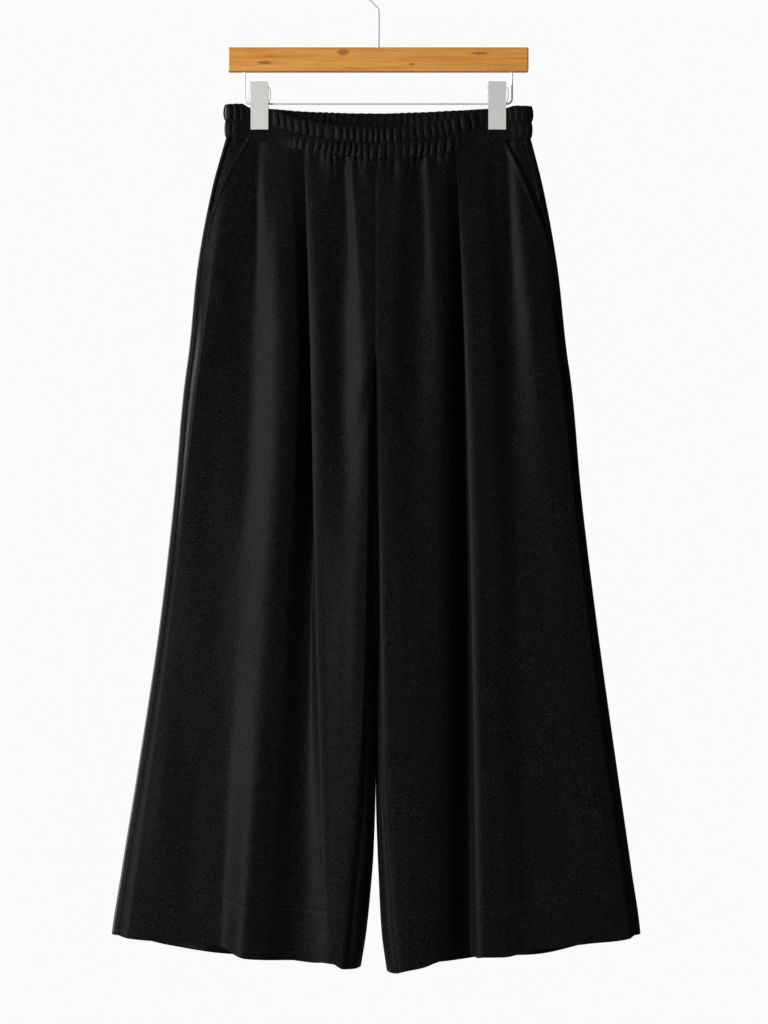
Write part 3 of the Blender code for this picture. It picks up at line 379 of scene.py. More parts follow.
class Nodes:
    """Short names for the nodes of one material."""

    def __init__(self, name):
        self.surface = bpy.data.materials.new(name)
        self.surface.use_nodes = True
        self.tree = self.surface.node_tree
        self.shader = self.tree.nodes["Principled BSDF"]
        self.coordinates = self.tree.nodes.new("ShaderNodeTexCoord").outputs["Object"]

    def link(self, output, node, socket):
        self.tree.links.new(output, node.inputs[socket])

    def scaled(self, scale, shift=(0, 0, 0)):
        """Object coordinates, stretched on each axis and then shifted."""
        node = self.tree.nodes.new("ShaderNodeMapping")
        node.inputs["Scale"].default_value = scale
        node.inputs["Location"].default_value = shift
        self.link(self.coordinates, node, "Vector")
        return node.outputs["Vector"]

    def noise(self, vector, scale, detail=2.0, roughness=0.5, distortion=0.0):
        node = self.tree.nodes.new("ShaderNodeTexNoise")
        node.inputs["Scale"].default_value = scale
        node.inputs["Detail"].default_value = detail
        node.inputs["Roughness"].default_value = roughness
        node.inputs["Distortion"].default_value = distortion
        self.link(vector, node, "Vector")
        return node.outputs["Fac"]

    def ramp(self, value, *stops):
        """Colours at positions from 0 to 1."""
        node = self.tree.nodes.new("ShaderNodeValToRGB")
        while len(node.color_ramp.elements) < len(stops):
            node.color_ramp.elements.new(0.5)
        for element, (position, colour) in zip(node.color_ramp.elements, stops):
            element.position = position
            element.color = (*colour, 1)
        self.link(value, node, "Fac")
        return node.outputs["Color"]

    def math(self, operation, first, second):
        node = self.tree.nodes.new("ShaderNodeMath")
        node.operation = operation
        for socket, value in enumerate((first, second)):
            if isinstance(value, (int, float)):
                node.inputs[socket].default_value = value
            else:
                self.link(value, node, socket)
        return node.outputs["Value"]

    def mix(self, share, first, second):
        """Colours mixed by a share, an output."""
        node = self.tree.nodes.new("ShaderNodeMix")
        node.data_type = "RGBA"
        self.link(share, node, "Factor")
        self.link(first, node, 6)
        self.link(second, node, 7)
        return node.outputs[2]

    def spot(self, knot):
        """1 at a knot's centre, fading to 0 at its outline."""
        across, up = 2 / (knot.length * MM), 2 / (knot.height * MM)
        shift = (-knot.x * MM * across, 0, knot.drop * MM * up)
        sphere = self.tree.nodes.new("ShaderNodeTexGradient")
        sphere.gradient_type = "SPHERICAL"
        self.link(self.scaled((across, 0, up), shift), sphere, "Vector")
        return self.ramp(sphere.outputs["Fac"], (0.0, (0, 0, 0)), (0.45, (0.9,) * 3))

    def bumped(self, height, strength, distance):
        node = self.tree.nodes.new("ShaderNodeBump")
        node.inputs["Strength"].default_value = strength
        node.inputs["Distance"].default_value = distance
        self.link(height, node, "Height")
        self.link(node.outputs["Normal"], self.shader, "Normal")

    def set(self, **values):
        for name, value in values.items():
            self.shader.inputs[name.replace("_", " ")].default_value = value


def crepe_material():
    """Matte black crepe: a pebbled weave whose grain is set in the colour, its brightest specks
    painted glints, with a faint cool sheen.
    """
    nodes = Nodes("crepe")
    weave = nodes.noise(nodes.scaled((0.75, 1.0, 1.3)), 1500, 2.0, 0.6)
    pebble = nodes.noise(nodes.scaled((0.8, 1.0, 1.25)), 780, 1.0, 0.5)
    cloudy = nodes.noise(nodes.coordinates, 24, 3.0, 0.6)
    grain = nodes.math("ADD", nodes.math("MULTIPLY", weave, 0.5),
                       nodes.math("MULTIPLY", pebble, 0.5))
    # the weave's grain set in the colour: its darker tones are the crepe's own, its brightest
    # specks are painted glints
    grain_and_painted_glints = nodes.ramp(grain, (0.42, (0.0002, 0.0003, 0.0003)), (0.50, (0.0030, 0.0036, 0.0033)),
                        (0.58, (0.0150, 0.0168, 0.0161)))
    worn = nodes.ramp(cloudy, (0.3, (0.0028, 0.0032, 0.0030)), (0.7, (0.0044, 0.0050, 0.0047)))
    nodes.link(nodes.mix(nodes.ramp(cloudy, (0.2, (0.1,) * 3), (0.8, (0.25,) * 3)), grain_and_painted_glints, worn),
               nodes.shader, "Base Color")
    nodes.bumped(grain, 0.5, 0.2 * MM)
    nodes.set(Roughness=0.5, Specular_IOR_Level=0.065, Sheen_Weight=0.02, Sheen_Roughness=0.4,
              Sheen_Tint=(0.85, 0.92, 1.0, 1))
    return nodes.surface


def thread_material():
    """Black sewing thread, a little glossier than the cloth."""
    nodes = Nodes("thread")
    twist = nodes.noise(nodes.coordinates, 2600, 1.0)
    nodes.link(nodes.ramp(twist, (0.35, (0.007, 0.0075, 0.0078)), (0.65, (0.02, 0.021, 0.022))),
               nodes.shader, "Base Color")
    nodes.set(Roughness=0.5, Specular_IOR_Level=0.3)
    return nodes.surface


Knot = namedtuple("Knot", "x drop length height")
KNOTS = [Knot(-41, 98, 17, 9), Knot(39, 112, 9, 4), Knot(-132, 110, 22, 5), Knot(118, 99, 26, 4)]


def wood_material():
    """Orange-brown varnished wood: fine grain along the bar and a few knots."""
    nodes = Nodes("wood")
    streaks = nodes.noise(nodes.scaled((0.05, 1.0, 1.0)), 520, 4.0, 0.65, 0.3)
    bands = nodes.noise(nodes.scaled((0.03, 1.0, 1.0)), 130, 2.5, 0.5, 0.6)
    tone = nodes.math("ADD", nodes.math("MULTIPLY", streaks, 0.45),
                      nodes.math("MULTIPLY", bands, 0.55))
    colour = nodes.ramp(tone, (0.32, (0.58, 0.21, 0.032)), (0.50, (0.82, 0.35, 0.066)),
                        (0.68, (0.98, 0.48, 0.12)))
    dark = nodes.ramp(tone, (0.3, (0.30, 0.09, 0.014)), (0.7, (0.52, 0.19, 0.034)))
    for knot in KNOTS:
        colour = nodes.mix(nodes.spot(knot), colour, dark)
    nodes.link(colour, nodes.shader, "Base Color")
    nodes.bumped(tone, 0.12, 0.3 * MM)
    nodes.set(Roughness=0.42, Coat_Weight=0.25, Coat_Roughness=0.3)
    return nodes.surface


def metal_material():
    """Pale satin nickel with a faint brushed grain."""
    nodes = Nodes("satin_nickel")
    brushed = nodes.noise(nodes.scaled((1.0, 1.0, 0.06)), 1800, 2.0)
    nodes.link(nodes.ramp(brushed, (0.3, (0.86, 0.84, 0.81)), (0.7, (0.96, 0.94, 0.91))),
               nodes.shader, "Base Color")
    rough = nodes.math("ADD", nodes.math("MULTIPLY", brushed, 0.12), 0.34)
    nodes.link(rough, nodes.shader, "Roughness")
    nodes.bumped(brushed, 0.05, 0.1 * MM)
    nodes.set(Metallic=0.2)
    return nodes.surface


CREPE = crepe_material()
THREAD = thread_material()
WOOD = wood_material()
METAL = metal_material()


# ---- waistband

RUCHE_HEIGHT = 2.8 * MM          # of the gathers outside, and how far they show inside
RUCHE_SINK = 0.9 * MM
TIER_WAVES = (8.5 * MM, 8.1 * MM)     # from gather to gather on the upper and the lower tier
TIER_PUFF = 0.6 * MM             # how far a tier's middle stands out and its edges draw in
TIER_PINCH = 0.5 * MM
SCALLOP = 0.9 * MM               # how uneven the gathers make the waistband's top edge
PINCH_HALF_WIDTH = 12 * MM       # cloth that a clip presses flat, and where it opens again
PINCH_FADE = 16 * MM
PRESSED = 0.16                   # share of the gathers' height that is left under a clip
END_START = 10 * MM              # beyond a clip's middle, where the waistband's end opens
FULL_TIER = (-104 * MM, 96 * MM)     # where the lower tier is gathered in full
FULL_TIER_FADE = 12 * MM
SIDE_TIER, SIDE_TIER_FADE = 150 * MM, 8 * MM     # from where it is gathered a little again
Lean = namedtuple("Lean", "x upper lower")
# How far the gathers lean across one tier: above 0 a gather's foot is further to +X.
LEANS = table(Lean, [
    (-180, 0, 0), (-110, 1.5, -1), (-90, 1, -3.5), (-45, 0.5, -3),
    (-20, 0, -0.5), (30, 1, -1), (60, 3, -2), (100, 4.5, -2), (125, 3, 2),
    (180, 0, 0),
])
LEAN_CURVES = [table_curve(LEANS, "x", name) for name in ("upper", "lower")]
BAND_FOOT_HEIGHT = 1.99          # just above the waistband's foot, on the scale of its rows


def clip_openness(x):
    """0 where a clip pinches the two layers together, 1 away from the clips."""
    away = [np.maximum(np.abs(x - clip) - PINCH_HALF_WIDTH, 0) for clip in (-CLIP_X, CLIP_X)]
    return (1 - bump(away[0], 0, PINCH_FADE)) * (1 - bump(away[1], 0, PINCH_FADE))


def band_depth(x, opening, height=2.0):
    """Distance from the middle plane to the middle of the waistband's wall."""
    foot = BAND_FOOT * np.clip(height - 1, 0, 1)
    between = np.clip((CLIP_X - np.abs(x)) / CLIP_X, 0, 1)
    bow = opening * np.sin(np.pi / 2 * between) ** 1.5
    end = BAND_END_OPENING * np.clip((np.abs(x) - CLIP_X - END_START) / PINCH_FADE, 0, 1)
    return SEAM_GAP / 2 + BAND_WALL / 2 + clip_openness(x) * bow + np.maximum(end, foot)


def band_path(opening, direction, height):
    """Points (x, y) and outward directions from one side seam to the other."""
    x = np.linspace(-BAND_END + BAND_END_RADIUS, BAND_END - BAND_END_RADIUS, BAND_COLUMNS * 2)
    y = band_depth(x, opening, height)
    turn = np.linspace(0, np.pi / 2, 9)[:-1]
    end_depth = y[0] - SEAM_GAP / 2
    round_x = BAND_END - BAND_END_RADIUS * (1 - np.cos(turn))
    round_y = SEAM_GAP / 2 + end_depth * np.sin(turn)
    path = resample(np.column_stack([np.r_[-round_x, x, round_x[::-1]],
                                     np.r_[round_y, y, round_y[::-1]]]), BAND_COLUMNS)
    tangent = np.gradient(path, axis=0)
    outward = np.column_stack([-tangent[:, 1], tangent[:, 0]])
    outward /= np.linalg.norm(outward, axis=1, keepdims=True)
    outward[0], outward[-1] = (-1, 0), (1, 0)
    return path * (1, direction), outward * (1, direction)


def gather_wave(x, height, face):
    """Height of the gathers from 0, in the creases, to 1, along the ridges.

    height runs from 0 at the waistband's top over 1 at the stitching to 2 at its foot.
    """
    tier = 0 if height <= 1 else 1
    across = height - tier
    lean = LEAN_CURVES[tier](x) if face == "front" else 1.5 * MM * np.sin(x / (40 * MM) + tier)
    x = x - lean * (across - 0.5)
    wave = TIER_WAVES[tier]
    seed = tier * 1.7 + (0 if face == "front" else 3.1)
    phase = (x / wave + 0.42 * np.sin(x / (31 * MM) + seed)
             + 0.24 * np.sin(x / (13 * MM) + 1 + seed)
             + 0.10 * np.sin(x / (6.1 * MM) + 2 * seed) * np.sin(np.pi * across))
    tall = 0.72 + 0.2 * np.sin(x / (19 * MM) + 2 + seed) + 0.12 * np.sin(x / (7.3 * MM) + seed)
    ridge = np.abs(np.cos(np.pi * phase)) ** 0.65
    return ridge * np.clip(tall, 0.3, 1)


def gathered_share(x, height, face):
    """The gathers are pressed flat at the clips and are faint beside them on the lower tier."""
    share = PRESSED + (1 - PRESSED) * np.sqrt(clip_openness(x))
    if height > 1 and face == "front":
        inside = np.minimum(x - FULL_TIER[0], FULL_TIER[1] - x)
        middle = np.clip(inside / FULL_TIER_FADE, 0, 1)
        side = np.clip((np.abs(x) - SIDE_TIER) / SIDE_TIER_FADE, 0, 1)
        share = share * (PRESSED + (1 - PRESSED) * np.maximum(middle, 0.5 * side))
    return share


def tier_envelope(height):
    """How full the casing is between its edges and the stitching, from 0 to 1."""
    across = height - (0 if height <= 1 else 1)
    return np.sin(np.pi * np.clip(across, 0, 1)) ** 0.55


def band_drop(face, height, x):
    """Drop of a row of the waistband."""
    top = BAND_CURVES[face + "_top"](x)
    bottom = BAND_CURVES[face + "_bottom"](x)
    stitch = BAND_CURVES["front_stitch"](x) if face == "front" else (top + bottom) / 2
    if height <= 1:
        return top + (stitch - top) * height
    return stitch + (bottom - stitch) * (height - 1)


def band_heights():
    """Rows of the waistband, closer together beside its edges and its stitching."""
    tier = (1 - np.cos(np.linspace(0, np.pi, TIER_ROWS))) / 2
    return np.r_[tier, 1 + tier[1:]]


def make_waistband(face):
    """A casing for two elastics, ruched on both sides."""
    direction, opening = LAYERS[face]
    outer, inner = [], []
    for height in band_heights():
        path, outward = band_path(opening, direction, height)
        x = path[:, 0]
        share = gathered_share(x, height, face)
        full = tier_envelope(height)
        wave = gather_wave(x, height, face)
        opened = clip_openness(x)
        puff = opened * (TIER_PUFF * full - TIER_PINCH * (1 - full))
        rise = RUCHE_HEIGHT * share * wave * (0.32 + 0.68 * full)
        sink = RUCHE_SINK * opened * share * wave * (0.3 + 0.7 * full)
        scallop = SCALLOP * share * (wave - 0.5) * max(0, 1 - height / 0.3)
        drop = band_drop(face, height, np.clip(x, -BAND_END, BAND_END)) - scallop
        for rows, offset in ((outer, BAND_WALL / 2 + puff + rise),
                             (inner, -BAND_WALL / 2 + sink)):
            points = path + outward * offset[:, None]
            rows.append(np.column_stack([points, -drop]))
    name = "waistband_" + face + "_cloth"
    return shell(name, np.array(outer), np.array(inner), face == "back")


# ---- leg panels

def station_drop(station, top, hem):
    """Drop of a row's point on a line that runs from the waist seam to the hem."""
    return np.interp(station, (0, 1, 2, 3), (top, CROTCH_DROP, KNEE_DROP, hem))


def panel_stations():
    """Rows down a panel, with extra ones at the waist seam, crotch and hem."""
    spans = ((0, 1, CROTCH_DROP - WAIST_SEAM_DROP), (1, 2, KNEE_DROP - CROTCH_DROP),
             (2, 3, HEM_DROP - KNEE_DROP))
    even = [np.linspace(low, high, round(length / ROW), endpoint=False)
            for low, high, length in spans]
    extra = [0.004, 0.01, *CROTCH_STATIONS, 0.96, 0.97, 0.985, 0.995, 2.985, 2.994, 3.0]
    extra += [HEM_STITCH + step * HEM_STEP for step in (-2, -1, 0, 1, 2)]
    return np.unique(np.round(np.r_[np.concatenate(even), extra], 4))


STATIONS = panel_stations()


def leg_edge(side, where, station, drop):
    """x of the leg's outline, and how far the back panel comes round it to its seam."""
    if where == "side":
        return SECTION_CURVES[side + "_side"](drop), SECTION_CURVES[side + "_wrap"](drop)
    parted = float(np.interp(station, (CROTCH_STATIONS[-1], 1), (0, 1)))
    below = max(drop, PARTED_DROP)
    inner = CENTRE_SEAM + (SECTION_CURVES[side + "_inner"](below) - CENTRE_SEAM) * parted
    return inner, SECTION_CURVES[side + "_roll"](below) * parted


def fold_point(fold, face, station):
    """x, y and drop where a fold crosses a row."""
    direction, opening = LAYERS[face]
    x_waist = fold.x_waist * MM
    top = BAND_CURVES[face + "_bottom"](x_waist) - SEAM_LAP
    y_waist = direction * band_depth(x_waist, opening) + fold.relief * MM
    levels = (top, CROTCH_DROP, KNEE_DROP, fold.hem_drop * MM)
    drop = station_drop(station, top, fold.hem_drop * MM)
    x = curve_through(levels, (x_waist, fold.x_crotch * MM, fold.x_knee * MM, fold.x_hem * MM))
    y = curve_through(levels, (y_waist, fold.y_crotch * MM, fold.y_knee * MM, fold.y_hem * MM))
    return float(x(drop)), float(y(drop)), float(drop)


def seam_point(side, face, station, where):
    """x, y and drop of the panel's end at its side seam or its inner seam."""
    depth = (SIDE_DEPTH if where == "side" else INNER_DEPTH)[side]
    outward = OUTWARD[side]
    waist_edge, waist_round_by = leg_edge(side, where, 0, SECTIONS[0].drop * MM)
    x_waist = waist_edge - outward * waist_round_by
    top = BAND_CURVES[face + "_bottom"](x_waist) - SEAM_LAP
    drop = station_drop(station, top, depth.hem_drop * MM)
    y_waist = depth.waist * MM if where == "side" else -band_depth(x_waist, LAYERS[face][1])
    y = curve_through((top, CROTCH_DROP, KNEE_DROP, depth.hem_drop * MM),
                      (y_waist, depth.crotch * MM, depth.knee * MM, depth.hem * MM))(drop)
    edge, round_by = leg_edge(side, where, station, drop)
    x = edge - outward * round_by if where == "side" else edge + outward * round_by
    return float(x), float(y if face == "front" else -y), float(drop)


def gather_relief(face, x, below_seam):
    """Height of the gathers below the waist seam: the large ones and the elastic's ripples."""
    total = np.zeros_like(x)
    for gather in GATHERS[face]:
        fade = np.clip(1 - below_seam / (gather.length * MM), 0, 1) ** 2
        rise = np.clip(below_seam / RIPPLE_LENGTH, 0.5, 1)
        total += gather.height * MM * fade * rise * bump(x, gather.x * MM, gather.width * MM)
    length = (20 + 11 * np.sin(x / (11 * MM)) + 7 * np.sin(x / (4.7 * MM))) * MM
    fade = np.clip(1 - below_seam / np.maximum(length, RIPPLE_LENGTH), 0, 1) ** 1.5
    share = gathered_share(x, BAND_FOOT_HEIGHT, face)
    total += PANEL_RIPPLE * fade * share * (gather_wave(x, BAND_FOOT_HEIGHT, face) - 0.6)
    return total


def crease_relief(face, x, drop):
    """Height of the listed creases."""
    total = np.zeros_like(x)
    for crease in CREASES[face]:
        start = np.array([crease.x, crease.drop]) * MM
        run = np.array([crease.end_x, crease.end_drop]) * MM - start
        length = np.linalg.norm(run)
        run /= length
        along = ((x - start[0]) * run[0] + (drop - start[1]) * run[1]) / length
        away = (x - start[0]) * run[1] - (drop - start[1]) * run[0]
        fade = np.sin(np.pi * np.clip(along, 0, 1)) ** 0.8
        total += crease.height * MM * fade * bump(away, 0, crease.width * MM)
    return total


def panel_row(side, face, station):
    """The knots of a row, in rising x, and functions of x for its y and drop."""
    folds = FOLDS[face, side]
    low, high = ENDS[side]
    points = [seam_point(side, face, station, low)]
    points += [fold_point(fold, face, station) for fold in folds]
    points += [seam_point(side, face, station, high)]
    x, y, drop = np.array(points).T
    sharp = [0] + [fold.sharp for fold in folds] + [0]
    y_curve = curve_through(x, y, sharp)
    seam_line = BAND_CURVES[face + "_bottom"]
    drop_curve = curve_through(x, drop) if station else lambda at: seam_line(at) - SEAM_LAP
    direction = LAYERS[face][0]
    seed = 0.7 if face == "front" else 2.9

    def depth(at):
        level = drop_curve(at)
        below_seam = level - seam_line(at)
        edge_fade = np.clip(np.minimum(at - x[0], x[-1] - at) / EDGE_CALM, 0, 1)
        uneven = SLACK_HEIGHT * slack(at, level, seed) * np.clip(below_seam / SLACK_START, 0, 1)
        small = crease_relief(face, at, level) + uneven
        return (y_curve(at) + direction * gather_relief(face, at, below_seam)
                + direction * small * edge_fade)
    return x, depth, drop_curve


def column_plan(side, face):
    """Number of strips between each pair of folds, the same on every row."""
    rows = [panel_row(side, face, station)[0] for station in (0, 1, 2, 3)]
    widths = np.max([np.diff(row) for row in rows], axis=0)
    return np.maximum(np.ceil(widths / COLUMN).astype(int), 6)


def fine_columns(knots, counts):
    """x of the columns of a row, with extra ones beside the seam at each end."""
    inside = []
    for i, count in enumerate(counts):
        low = knots[i] + (SEAM_COLUMNS[-1] if i == 0 else 0)
        high = knots[i + 1] - (SEAM_COLUMNS[-1] if i == len(counts) - 1 else 0)
        inside.append(np.linspace(low, high, count, endpoint=False))
    return np.r_[knots[0], knots[0] + SEAM_COLUMNS[:-1], np.concatenate(inside),
                 knots[-1] - SEAM_COLUMNS[::-1], knots[-1]]


def tucked(columns, knots, side, station):
    """Slides a pleat's valley under the pleat's edge, which then hangs over it."""
    share = np.interp(station, *PLEAT_TUCK[side])
    edge = next(i for i, fold in enumerate(FOLDS["front", side]) if fold.sharp) + 1
    before, valley, edge = knots[edge - 2:edge + 1]
    opened = np.interp(columns, (before, valley, edge), (0, 1, 0))
    return columns + share * MM * opened * opened * (3 - 2 * opened)


def pocket_edge(side, drop):
    """x of the slant pocket's edge."""
    pocket = POCKETS[side]
    start = BAND_CURVES["front_bottom"](pocket.top_x * MM)
    end = pocket.end_drop * MM
    side_x, round_by = leg_edge(side, "side", 0, end)
    end_x = side_x - OUTWARD[side] * round_by
    share = np.clip((drop - start) / (end - start), 0, 1)
    return pocket.top_x * MM + (end_x - pocket.top_x * MM) * (1 - (1 - share) ** pocket.bow)


def slide_to_pocket(columns, knots, side, drop):
    """Moves the outer columns in, so that the panel ends at the pocket's edge."""
    outward = OUTWARD[side]
    edge = pocket_edge(side, drop)
    end, hold = (columns[0], knots[3]) if side == "right" else (columns[-1], knots[-4])
    if drop > POCKETS[side].end_drop * MM or edge * outward > end * outward:
        return columns
    near = columns * outward > hold * outward
    columns[near] = hold + (columns[near] - hold) * (edge - hold) / (end - hold)
    return columns


def sink_seam(grid, direction, end):
    """Rolls the cloth in beside a seam, as its stitches pull it."""
    away = np.linalg.norm(grid - grid[:, end][:, None], axis=2)
    grid[:, :, 1] -= direction * SEAM_SINK * bump(away, 0, SEAM_REACH)


def raise_pocket_edge(grid, end, end_drop):
    """The pocket's edge is folded under, so it stands up in a narrow roll."""
    away = np.linalg.norm(grid - grid[:, end][:, None], axis=2)
    above = np.clip((end_drop + grid[:, end, 2]) / POCKET_ROLL_FADE, 0, 1)[:, None]
    grid[:, :, 1] -= POCKET_ROLL * above * bump(away, POCKET_ROLL_WIDTH, POCKET_ROLL_WIDTH)


def cloth_shell(name, grid, normals):
    """A thin shell about a panel's grid, thicker on the inside where the hem is turned up."""
    turned = np.clip((STATIONS - HEM_STITCH) / HEM_STEP, 0, 1)[:, None, None]
    inside = CLOTH / 2 + (HEM_CLOTH - CLOTH) * turned
    return shell(name, grid + normals * CLOTH / 2, grid - normals * inside)


def sink_hem(grid, direction):
    """The row of hem stitches draws the cloth in a little."""
    grid[:, :, 1] -= direction * HEM_GROOVE * bump(STATIONS, HEM_STITCH, HEM_GROOVE_WIDTH)[:, None]


def hem_stitches(name, grid, normals):
    """The blind stitches of the turned-up hem: short spindles of thread on a panel's outside."""
    row = int(np.argmin(np.abs(STATIONS - HEM_STITCH)))
    inside = slice(WRAP_COLUMNS // 2, -WRAP_COLUMNS // 2)
    outward = normals[row][inside]
    path = grid[row][inside] + outward * (CLOTH / 2 + STITCH_THICK * 0.3)
    along = np.r_[0, np.cumsum(np.linalg.norm(np.diff(path, axis=0), axis=1))]
    places = np.arange(HEM_PITCH / 2, along[-1], HEM_PITCH)

    def at(values, step=0):
        return np.column_stack([np.interp(places + step, along, column) for column in values.T])

    centre, normal = at(path), at(outward)
    tangent = at(path, HEM_PITCH / 4) - at(path, -HEM_PITCH / 4)
    normal /= np.linalg.norm(normal, axis=1, keepdims=True)
    tangent /= np.linalg.norm(tangent, axis=1, keepdims=True)
    side_on = np.cross(tangent, normal)
    rings = []
    for step, width in STITCH_RINGS:
        for turn in np.arange(STITCH_SIDES) * 2 * np.pi / STITCH_SIDES:
            spoke = normal * np.cos(turn) + side_on * np.sin(turn)
            rings.append(centre + tangent * STITCH_LENGTH * step
                         + spoke * STITCH_THICK / 2 * width)
    vertices = np.stack(rings, axis=1).reshape(-1, 3)
    count = len(STITCH_RINGS) * STITCH_SIDES
    corner = np.arange(count - STITCH_SIDES)
    beside = corner // STITCH_SIDES * STITCH_SIDES + (corner + 1) % STITCH_SIDES
    sides = np.stack([corner, beside, beside + STITCH_SIDES, corner + STITCH_SIDES], axis=1)
    ends = np.array([range(STITCH_SIDES)[::-1], range(count - STITCH_SIDES, count)])
    faces = []
    for start in range(0, len(vertices), count):
        faces += (sides + start).tolist() + (ends + start).tolist()
    return mesh_object(name, vertices, faces, THREAD)


def make_front_panel(side):
    """The front of a leg, up to the slant pocket's edge, and its hem stitches."""
    outer_end, inner_end = (0, -1) if side == "right" else (-1, 0)
    counts = column_plan(side, "front")
    rows = []
    for station in STATIONS:
        knots, depth, drop = panel_row(side, "front", station)
        columns = fine_columns(knots, counts)
        if station < 1:
            columns = slide_to_pocket(columns, knots, side, drop(columns[outer_end]))
        rows.append(np.column_stack([tucked(columns, knots, side, station), depth(columns),
                                     -drop(columns)]))
    grid = np.array(rows)
    for end in (0, -1):
        sink_seam(grid, -1, end)
    sink_hem(grid, -1)
    raise_pocket_edge(grid, outer_end, POCKETS[side].end_drop * MM)
    normals = grid_normals(grid) * -1
    normals[:, inner_end] = TO_FRONT
    normals[STATIONS > POCKET_CLOSED, outer_end] = TO_FRONT
    return (cloth_shell("front_panel_" + side + "_cloth", grid, normals),
            hem_stitches("hem_stitches_front_" + side, grid, normals))


def back_wrap(side, where, station, depth):
    """Points (x, y, drop) where a row of the back panel comes round an edge of the leg.

    depth is the row's own function of x, which the flat start of the wrap still follows.
    """
    inward = -OUTWARD[side] if where == "side" else OUTWARD[side]
    front_y = seam_point(side, "front", station, where)[1]
    _, back_y, drop = seam_point(side, "back", station, where)
    edge, radius = leg_edge(side, where, station, drop)
    share, lead, clearance = 1, WRAP_LEAD, 0
    if where == "inner":
        share = float(np.interp(station, CROTCH_STATIONS, (0, 0.5, 1)))
        lead = max(WRAP_LEAD, CROTCH_LEAD * (1 - share))
        clearance = CROTCH_CLEARANCE
    turn = np.linspace(0, np.pi * share, WRAP_STEPS)
    x = edge + inward * (radius + (clearance - radius) * np.sin(turn))
    y = (back_y + front_y) / 2 + (back_y - front_y) / 2 * np.cos(turn)
    if share == 0:
        x, y = x[:1], y[:1]
    path = resample(np.column_stack([np.r_[x[0] + inward * lead, x], np.r_[back_y, y]]),
                    WRAP_COLUMNS + 1)
    turned = share * np.clip(np.abs(path[:, 0] - path[0, 0]) / lead, 0, 1)
    path[:, 1] += (depth(path[:, 0]) - back_y) * (1 - turned)
    hem = (SIDE_DEPTH if where == "side" else INNER_DEPTH)[side].hem_drop * MM
    drops = [station_drop(station, BAND_CURVES["back_bottom"](x) - SEAM_LAP, hem)
             for x in path[:, 0]]
    return np.column_stack([path, drops])


def make_back_panel(side):
    """The back of a leg, which comes round both edges to the front, and its hem stitches."""
    low, high = ENDS[side]
    side_column, inner_column = (0, -1) if side == "right" else (-1, 0)
    counts = column_plan(side, "back")
    rows = []
    for station in STATIONS:
        knots, depth, drop = panel_row(side, "back", station)
        low_wrap = back_wrap(side, low, station, depth)
        high_wrap = back_wrap(side, high, station, depth)
        knots[0], knots[-1] = low_wrap[0, 0], high_wrap[0, 0]
        columns = fine_columns(knots, counts)
        face = np.column_stack([columns, depth(columns), drop(columns)])
        rows.append(np.vstack([low_wrap[:0:-1], face, high_wrap[1:]]) * (1, 1, -1))
    grid = np.array(rows)
    sink_hem(grid, 1)
    start, _, done = CROTCH_STATIONS
    seat = grid[STATIONS <= start]
    sink_seam(seat, 1, inner_column)
    grid[STATIONS <= start] = seat
    normals = grid_normals(grid)
    normals[:, side_column] = TO_FRONT
    normals[STATIONS >= done, inner_column] = TO_FRONT
    normals[STATIONS <= start, inner_column] = TO_BACK
    return (cloth_shell("back_panel_" + side + "_cloth", grid, normals),
            hem_stitches("hem_stitches_back_" + side, grid, normals))


def make_pocket_facing(side):
    """The hip piece: it follows the uncut front, set back behind the pocket's edge."""
    outward = OUTWARD[side]
    end = POCKETS[side].end_drop * MM
    rows = []
    for station in np.linspace(0, FACING_END, FACING_ROWS):
        knots, depth, drop = panel_row(side, "front", station)
        seam = knots[0] if side == "right" else knots[-1]
        seam_drop = float(drop(seam))
        inner = pocket_edge(side, seam_drop) - outward * FACING_UNDERLAP
        start = seam - outward * np.interp(seam_drop, (end - 90 * MM, end - 20 * MM), (0, 2 * MM))
        columns = np.linspace(start, inner, FACING_COLUMNS)
        rows.append(np.column_stack([columns, depth(columns), -drop(columns)]))
    grid = np.array(rows)
    normals = grid_normals(grid) * outward
    normals[:, 0] = TO_FRONT
    setback = np.ones(grid.shape[:2])
    setback[:, 0] = np.interp(-grid[:, 0, 2], (end - 110 * MM, end - 50 * MM), (0, 1))
    grid -= normals * setback[:, :, None] * FACING_SETBACK
    return shell("pocket_facing_" + side + "_cloth", grid + normals * CLOTH / 2,
                 grid - normals * CLOTH / 2, side == "left")


Cut = namedtuple("Cut", "width length area held")


# ---- scene

FLOOR, FLOOR_RADIUS, FLOOR_SIDES = -1.75, 1.9, 64
AMBIENT = 0.06                   # strength of the surroundings as light, 1 as the camera sees them
SOFTBOX = (-2.6, -2.0, -0.35)
SOFTBOX_SIZE = (0.9, 2.2)
SOFTBOX_POWER = 30.5
SOFTBOX_SPREAD = 90              # degrees
SOFTBOX_AIM = (0, 0, -0.45)
Sun = namedtuple("Sun", "name source strength spread")     # source: where the light comes from
SUNS = table(Sun, [
    ("top_light", (0.25, -1.0, 1.65), 0.35, 50),
    ("back_light", (-0.79, 0.62, 0.12), 2.4, 20),
])
CAMERA_DISTANCE = 3.0
CAMERA_X, CAMERA_DROP = 6.65 * MM, 633.3 * MM
VIEW_HEIGHT = 1.1947             # what the view takes in at the trousers
SENSOR_HEIGHT = 24               # millimetres


def light(name, kind, place, towards, power):
    """A lamp at a place that shines along a direction."""
    lamp = bpy.data.lights.new(name, kind)
    lamp.energy = power
    made = bpy.data.objects.new(name, lamp)
    made.location = place
    made.rotation_euler = towards.to_track_quat("-Z", "Y").to_euler()
    bpy.context.scene.collection.objects.link(made)
    return lamp


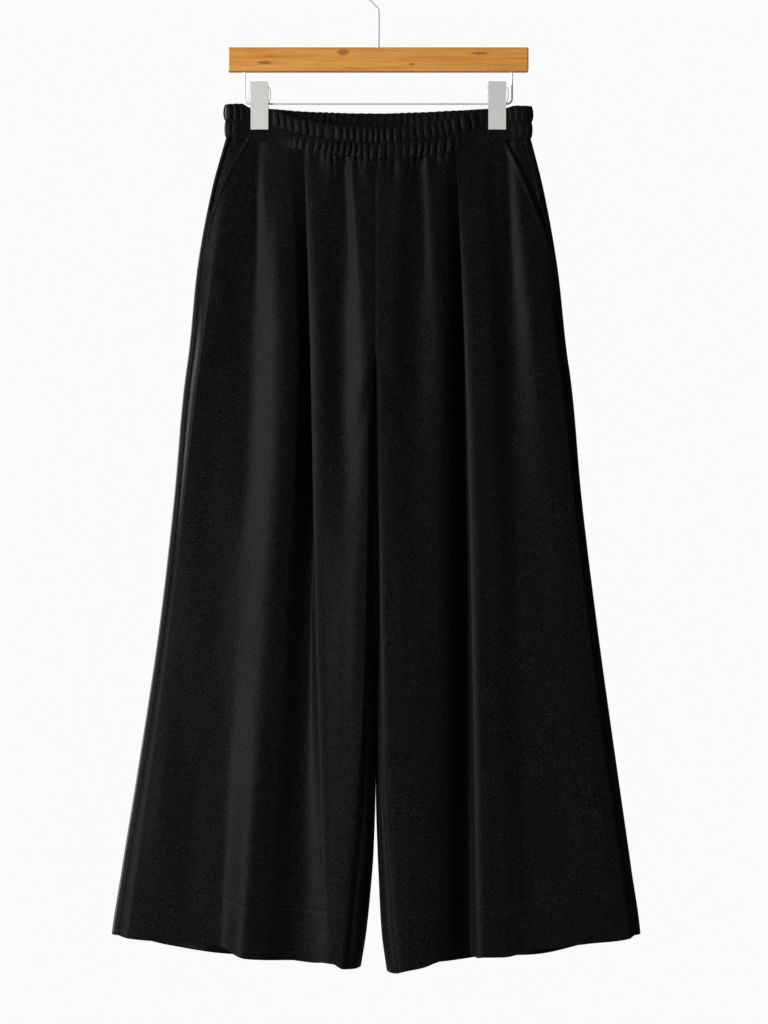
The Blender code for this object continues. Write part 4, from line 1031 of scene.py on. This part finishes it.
def studio():
    """A pale floor far below the hung trousers, soft light and the photograph's view."""
    scene = bpy.context.scene
    scene.view_settings.view_transform = "Standard"
    world = bpy.data.worlds.new("studio")
    scene.world = world
    world.use_nodes = True
    tree = world.node_tree
    background = tree.nodes["Background"]
    background.inputs["Color"].default_value = (0.96, 0.96, 0.965, 1)
    seen = tree.nodes.new("ShaderNodeLightPath").outputs["Is Camera Ray"]
    strength = tree.nodes.new("ShaderNodeMapRange")
    strength.inputs["To Min"].default_value = AMBIENT
    strength.inputs["To Max"].default_value = 1.0
    tree.links.new(seen, strength.inputs["Value"])
    tree.links.new(strength.outputs["Result"], background.inputs["Strength"])

    turns = np.linspace(0, 2 * np.pi, FLOOR_SIDES + 1)[:-1]
    disc = np.column_stack([FLOOR_RADIUS * np.cos(turns), FLOOR_RADIUS * np.sin(turns),
                            np.full(FLOOR_SIDES, FLOOR)])
    pale = Nodes("pale_floor")
    pale.set(Base_Color=(0.88, 0.88, 0.885, 1), Roughness=0.8)
    mesh_object("floor", disc, [tuple(range(FLOOR_SIDES))], pale.surface)

    towards = Vector(SOFTBOX_AIM) - Vector(SOFTBOX)
    softbox = light("softbox", "AREA", SOFTBOX, towards, SOFTBOX_POWER)
    softbox.shape = "RECTANGLE"
    softbox.size, softbox.size_y = SOFTBOX_SIZE
    softbox.spread = math.radians(SOFTBOX_SPREAD)
    for sun in SUNS:
        lamp = light(sun.name, "SUN", sun.source, -Vector(sun.source), sun.strength)
        lamp.angle = math.radians(sun.spread)

    camera_data = bpy.data.cameras.new("camera")
    camera_data.sensor_fit = "VERTICAL"
    camera_data.sensor_height = SENSOR_HEIGHT
    camera_data.lens = SENSOR_HEIGHT * CAMERA_DISTANCE / VIEW_HEIGHT
    camera = bpy.data.objects.new("camera", camera_data)
    camera.location = (CAMERA_X, -CAMERA_DISTANCE, -CAMERA_DROP)
    camera.rotation_euler = (math.pi / 2, 0, 0)
    scene.collection.objects.link(camera)
    scene.camera = camera


def build():
    """All the cloth, the hanger's materials and the studio."""
    for face in ("front", "back"):
        band = ride(make_waistband(face), "waistband_" + face)
    for side in ("right", "left"):
        for face, make in (("front", make_front_panel), ("back", make_back_panel)):
            panel, stitches = make(side)
            ride(panel, face + "_panel_" + side)
            ride(stitches)
        facing = ride(make_pocket_facing(side), "pocket_facing_" + side)
    for name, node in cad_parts.items():
        if name.startswith(("clip", "hanger")):
            node.data.materials.clear()
            node.data.materials.append(WOOD if name == "hanger_bar" else METAL)
    studio()


build()
